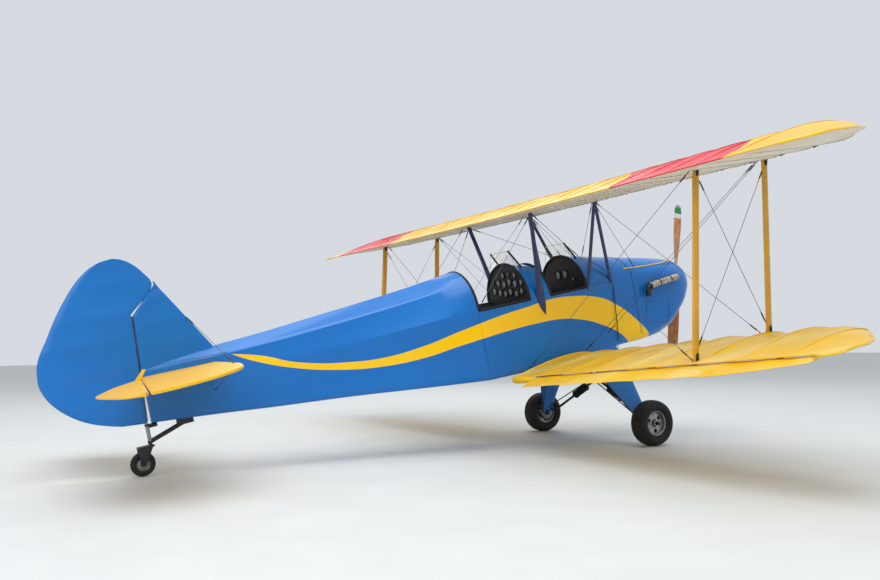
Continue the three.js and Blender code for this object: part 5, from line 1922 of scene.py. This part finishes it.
def tail_arm():
    """The leg under the fuselage's end, with the steering post that it carries."""
    shape = Shape().box((-4.140, -0.022, 1.214), (-4.010, 0.022, 1.290))
    shape.fairing([((-4.075, 0, 1.232), 0.040, 0.026), ((STEER_X + 0.006, 0, 1.142), 0.040, 0.026)])
    shape.tube([(STEER_X, 0, 1.128), (STEER_X, 0, 1.150), (STEER_X, 0, 1.288)], 0.015, sides=18, finish=1)
    for z in (1.140, 1.275):
        shape.lathe((STEER_X, 0, z - 0.008), (0, 0, 1), puck(0.016, 0.019))
    shape.box((STEER_X, -0.008, 1.250), (-4.290, 0.008, 1.282))
    return shape.box((-4.328, -0.008, 1.270), (-4.290, 0.008, 1.300))


def fork():
    """The tail wheel's fork: a post, a bridge, two plates and the axle with its nuts."""
    x, _, z = TAIL_WHEEL
    outline = [
        (x - 0.020, z - 0.006), (x - 0.012, z - 0.018), (x + 0.012, z - 0.018), (x + 0.022, z - 0.004),
        (STEER_X + 0.016, 1.116), (x - 0.018, 1.116),
    ]
    shape = Shape().tube([(STEER_X, 0, 1.108), (STEER_X, 0, 1.128)], 0.012, sides=16)
    shape.box((x - 0.020, -0.046, 1.104), (STEER_X + 0.022, 0.046, 1.118))
    for s in (-1, 1):
        shape.plate([(px, s * 0.038, pz) for px, pz in outline], (0, s * 0.006, 0))
        shape.tube([(x, s * 0.044, z), (x, s * 0.050, z)], 0.013, sides=6)
    return shape.tube([(x, -0.052, z), (x, 0.052, z)], 0.008, sides=12)


def tail_rim():
    section = [
        (-0.017, 0.0085), (-0.017, 0.022), (-0.010, 0.024), (-0.008, 0.042), (-0.020, 0.047),
        (-0.022, 0.0515), (0.022, 0.0515), (0.020, 0.047), (0.008, 0.042), (0.010, 0.024), (0.017, 0.022),
        (0.017, 0.0085), (-0.017, 0.0085),
    ]
    return Shape().lathe(TAIL_WHEEL, ACROSS, section)


piece(
    "tail_arm", tail_arm(), [black_paint, bare_steel], replaces=("tail_leg",),
    bevel=0.0015,
)
piece("tail_fork_plates", fork(), black_paint, "tail_fork", ("tail_fork",), bevel=0.001)
piece(
    "tail_tyre_rubber", tyre(TAIL_WHEEL, 0.096, 0.056, 0.052, sides=48), rubber, "tail_wheel",
    ("tail_tyre",), sharp=60,
)
piece("tail_wheel_rim", tail_rim(), wheel_alloy, "tail_wheel", ("tail_wheel_hub",), sharp=35)


# Seats and control sticks

# Place and x of each seat
SEATS = (("rear", -1.290), ("front", -0.560))
# Frames that a cushion fills for, and the furthest that it swells
FILL_FRAMES, FILL_CAP = 20, 0.012
# Distance ahead of the seat's x, distance from the middle, height
SHOULDER_BELT = [
    (-0.020, 0.080, 1.600), (0.045, 0.080, 1.570), (0.066, 0.080, 1.42), (0.064, 0.070, 1.30),
    (0.120, 0.040, 1.235), (0.200, 0.022, 1.232),
]
LAP_BELT = [(0.060, 0.196, 1.190), (0.110, 0.160, 1.235), (0.180, 0.075, 1.240), (0.215, 0.018, 1.238)]
BELT_WIDTH, BELT_THICKNESS = 0.044, 0.003


def seat(x):
    """A thin shell with raised sides and a tall reclined back."""
    # Distance ahead of x, height, half width
    rows = [
        (0.400, 1.196, 0.190), (0.380, 1.170, 0.200), (0.28, 1.156, 0.205), (0.15, 1.152, 0.205),
        (0.05, 1.160, 0.205), (0.012, 1.200, 0.205), (-0.002, 1.30, 0.203), (-0.010, 1.42, 0.198),
        (-0.016, 1.53, 0.185), (-0.018, 1.590, 0.150),
    ]
    rings = []
    for ahead, z, half in rows:
        back = z > 1.19 and ahead < 0.1
        ring = []
        for u in spread(-1, 1, 17):
            lift = 0.030 * abs(u) ** 5
            ring.append((x + ahead + (lift if back else 0), u * half, z + (0 if back else lift)))
        rings.append(ring)
    return Shape().loft(rings, ends=(False, False), closed=False)


def cushion_block(low, high, cells):
    """A block in even cells, whose middle is drawn in a little fore and aft."""
    build = bmesh.new()
    bmesh.ops.create_cube(build, size=1.0)
    bmesh.ops.subdivide_edges(build, edges=build.edges, cuts=cells, use_grid_fill=True)
    for vertex in build.verts:
        x, y, z = vertex.co
        shares = (x * (1.0 - 0.05 * (1 - (2 * y) ** 2)), y, z)
        vertex.co = [(a + b) / 2 + share * (b - a) for share, a, b in zip(shares, low, high)]
    return build


def blown_up(name, build, pinned, cap):
    """Fills a cushion by cloth pressure, never further than the cap, with its pinned points held."""
    mesh = bpy.data.meshes.new(name)
    build.to_mesh(mesh)
    build.free()
    thing = linked(name, mesh)
    start = [vertex.co.copy() for vertex in mesh.vertices]
    group = thing.vertex_groups.new(name="held")
    group.add([i for i, point in enumerate(start) if pinned(point)], 1.0, "REPLACE")
    cloth = thing.modifiers.new("filling", "CLOTH")
    cloth.settings.use_pressure, cloth.settings.uniform_pressure_force = True, 4.0
    cloth.settings.effector_weights.gravity = 0.0
    cloth.settings.vertex_group_mass = "held"
    cloth.point_cache.frame_start, cloth.point_cache.frame_end = 1, FILL_FRAMES
    for moment in range(1, FILL_FRAMES + 1):
        bpy.context.scene.frame_set(moment)
    filled = bpy.data.meshes.new_from_object(thing.evaluated_get(bpy.context.evaluated_depsgraph_get()))
    for vertex, home in zip(filled.vertices, start):
        move = vertex.co - home
        vertex.co = home + move * min(1.0, cap / max(move.length, 1e-6))
    bpy.context.scene.frame_set(1)
    bpy.data.objects.remove(thing)
    return filled


def cushion(name, low, high, held, lean):
    """One padded block for each seat, leaning about y. Its low side along the held axis doesn't swell."""
    filled = blown_up(name, cushion_block(low, high, 13), lambda p: p[held] < low[held] + 0.003, FILL_CAP)
    for place, x in SEATS:
        mesh = filled.copy()
        mesh.transform(Matrix.Translation((x, 0, 0)) @ Matrix.Rotation(lean, 4, "Y"))
        mesh.materials.clear()
        mesh.materials.append(seat_cloth.material)
        mesh.transform(PARKED)
        thing = linked(f"{place}_{name}", mesh)
        rounding = thing.modifiers.new("rounding", "SUBSURF")
        rounding.levels = rounding.render_levels = 1
        mounted(thing, "airframe", (), 60)


# Name, low and high corner, axis whose low side is held, lean
for row in (
    ("seat_cushion", (0.055, -0.185, 1.166), (0.375, 0.185, 1.212), 2, 0.0),
    ("back_cushion", (0.012, -0.170, 1.225), (0.046, 0.170, 1.545), 0, 0.0001),
):
    cushion(*row)


def belt_runs(x):
    """Shoulder and lap belts as flat webbing: the middle line and which way its width lies."""
    rows = []
    for way in (-1, 1):
        for belt, across in ((SHOULDER_BELT, (0, 1, 0)), (LAP_BELT, (0.8, way * 0.6, 0))):
            rows.append(([(x + ahead, way * aside, z) for ahead, aside, z in belt], across))
    return rows


def webbing_strip(shape, path, across):
    """Adds a flat strap that follows a path."""
    path = smooth_path(path, 26)
    across = Vector(across).normalized() * (BELT_WIDTH / 2)
    rings = []
    for i, point in enumerate(path):
        ahead = (path[min(i + 1, len(path) - 1)] - path[max(i - 1, 0)]).normalized()
        up = ahead.cross(across).normalized() * (BELT_THICKNESS / 2)
        rings.append([point + across + up, point - across + up, point - across - up, point + across - up])
    shape.loft(rings)


belts, buckles = Shape(), Shape()
for _, seat_x in SEATS:
    for path, across in belt_runs(seat_x):
        webbing_strip(belts, path, across)
    buckles.box((seat_x + 0.180, -0.030, 1.232), (seat_x + 0.245, 0.030, 1.250))
piece("seat_belts", belts, webbing, sharp=60)
piece("belt_buckles", buckles, bare_steel, bevel=0.004)


def stick(x):
    path = [(x, 0, 0.950), (x - 0.004, 0, 1.05), (x - 0.018, 0, 1.20), (x - 0.030, 0, 1.330)]
    return Shape().tube(smooth_path(path, 20), 0.011, sides=12)


def stick_grip(x):
    profile = [
        (0, CLOSED), (0, 0.016), (0.01, 0.018), (0.03, 0.016), (0.05, 0.0175), (0.07, 0.016), (0.09, 0.018),
        (0.105, 0.015), (0.11, CLOSED),
    ]
    return Shape().lathe((x - 0.028, 0, 1.31), (-0.1, 0, 1), profile, sides=20)


for place, x in SEATS:
    piece(
        f"{place}_seat_shell", seat(x), black_paint, replaces=(f"{place}_seat",),
        wall=0.006, sharp=60,
    )
for place, x in (("rear", -0.830), ("front", -0.105)):
    piece(f"{place}_stick_tube", stick(x), black_paint, replaces=(f"{place}_stick",))
    piece(f"{place}_stick_grip", stick_grip(x), black_rubber)


# Rigging

# Radii of a wire and its turnbuckles, and the radius above which a bar is a fitting
WIRE, TURNBUCKLE, FITTING = 0.0021, 0.0055, 0.0023
CAD_WIRES = {
    "front_flying_wire": ((-0.180, 0.372, 0.985), (0.075, STRUT_Y - 0.06, 2.450)),
    "rear_flying_wire": ((-0.900, 0.372, 0.965), (-0.680, STRUT_Y - 0.06, 2.450)),
    "front_landing_wire": ((0.060, CABANE_Y + 0.03, 2.450), (-0.196, STRUT_Y - 0.07, 1.110)),
    "rear_landing_wire": ((-0.740, CABANE_Y + 0.03, 2.440), (-0.988, STRUT_Y - 0.07, 1.078)),
}
LIGHT_WIRES = {
    "second_flying_wires": [((0.140, 0.374, 1.100), (0.090, STRUT_Y - 0.05, 2.450))],
    "incidence_wires": [
        ((-0.684, STRUT_Y, 2.400), (-0.200, STRUT_Y, 1.170)),
        ((0.080, STRUT_Y, 2.400), (-1.000, STRUT_Y, 1.140)),
    ],
    "cabane_wires": [
        ((0.109, CABANE_Y - 0.02, 2.440), (0.652, 0.366, 1.700)),
        ((0.100, CABANE_Y - 0.03, 2.430), (0.160, 0.150, 1.910)),
        ((-0.700, CABANE_Y, 2.420), (0.100, 0.160, 1.930)),
        ((-0.700, CABANE_Y, 2.420), (-1.330, 0.352, 1.640)),
    ],
    "tail_wires": [
        ((-3.910, 0.012, 2.057), (-3.802, 0.740, 1.658)), ((-3.958, 1.132, 1.622), (-3.820, 0.110, 1.433)),
    ],
}


def wire(low, high):
    """A wire with a turnbuckle and a fork at each end."""
    low, high = Vector(low), Vector(high)
    length = (high - low).length
    along = (high - low) / length
    foot = [
        (0.0, 0.004), (0.030, 0.004), (0.034, 0.0026), (0.050, 0.0026), (0.054, TURNBUCKLE),
        (0.124, TURNBUCKLE), (0.128, 0.0026), (0.150, 0.0026), (0.156, WIRE),
    ]
    rows = foot + [(length / 2, WIRE)] + [(length - at, radius) for at, radius in reversed(foot)]
    return [(low + along * at, radius) for at, radius in rows]


for label, side in SIDES:
    for name, ends in CAD_WIRES.items():
        run = wire(*(to_side(p, side) for p in ends))
        swept(
            f"{name}_{label}_stay", [run], stay_steel, black_paint, FITTING, slot="bare_steel",
            replaces=(f"{name}_{label}",),
        )
for name, pairs in LIGHT_WIRES.items():
    runs = [wire(*path) for pair in pairs for path in both_ways(pair)]
    swept(name, runs, stay_steel, black_paint, FITTING, slot="bare_steel")
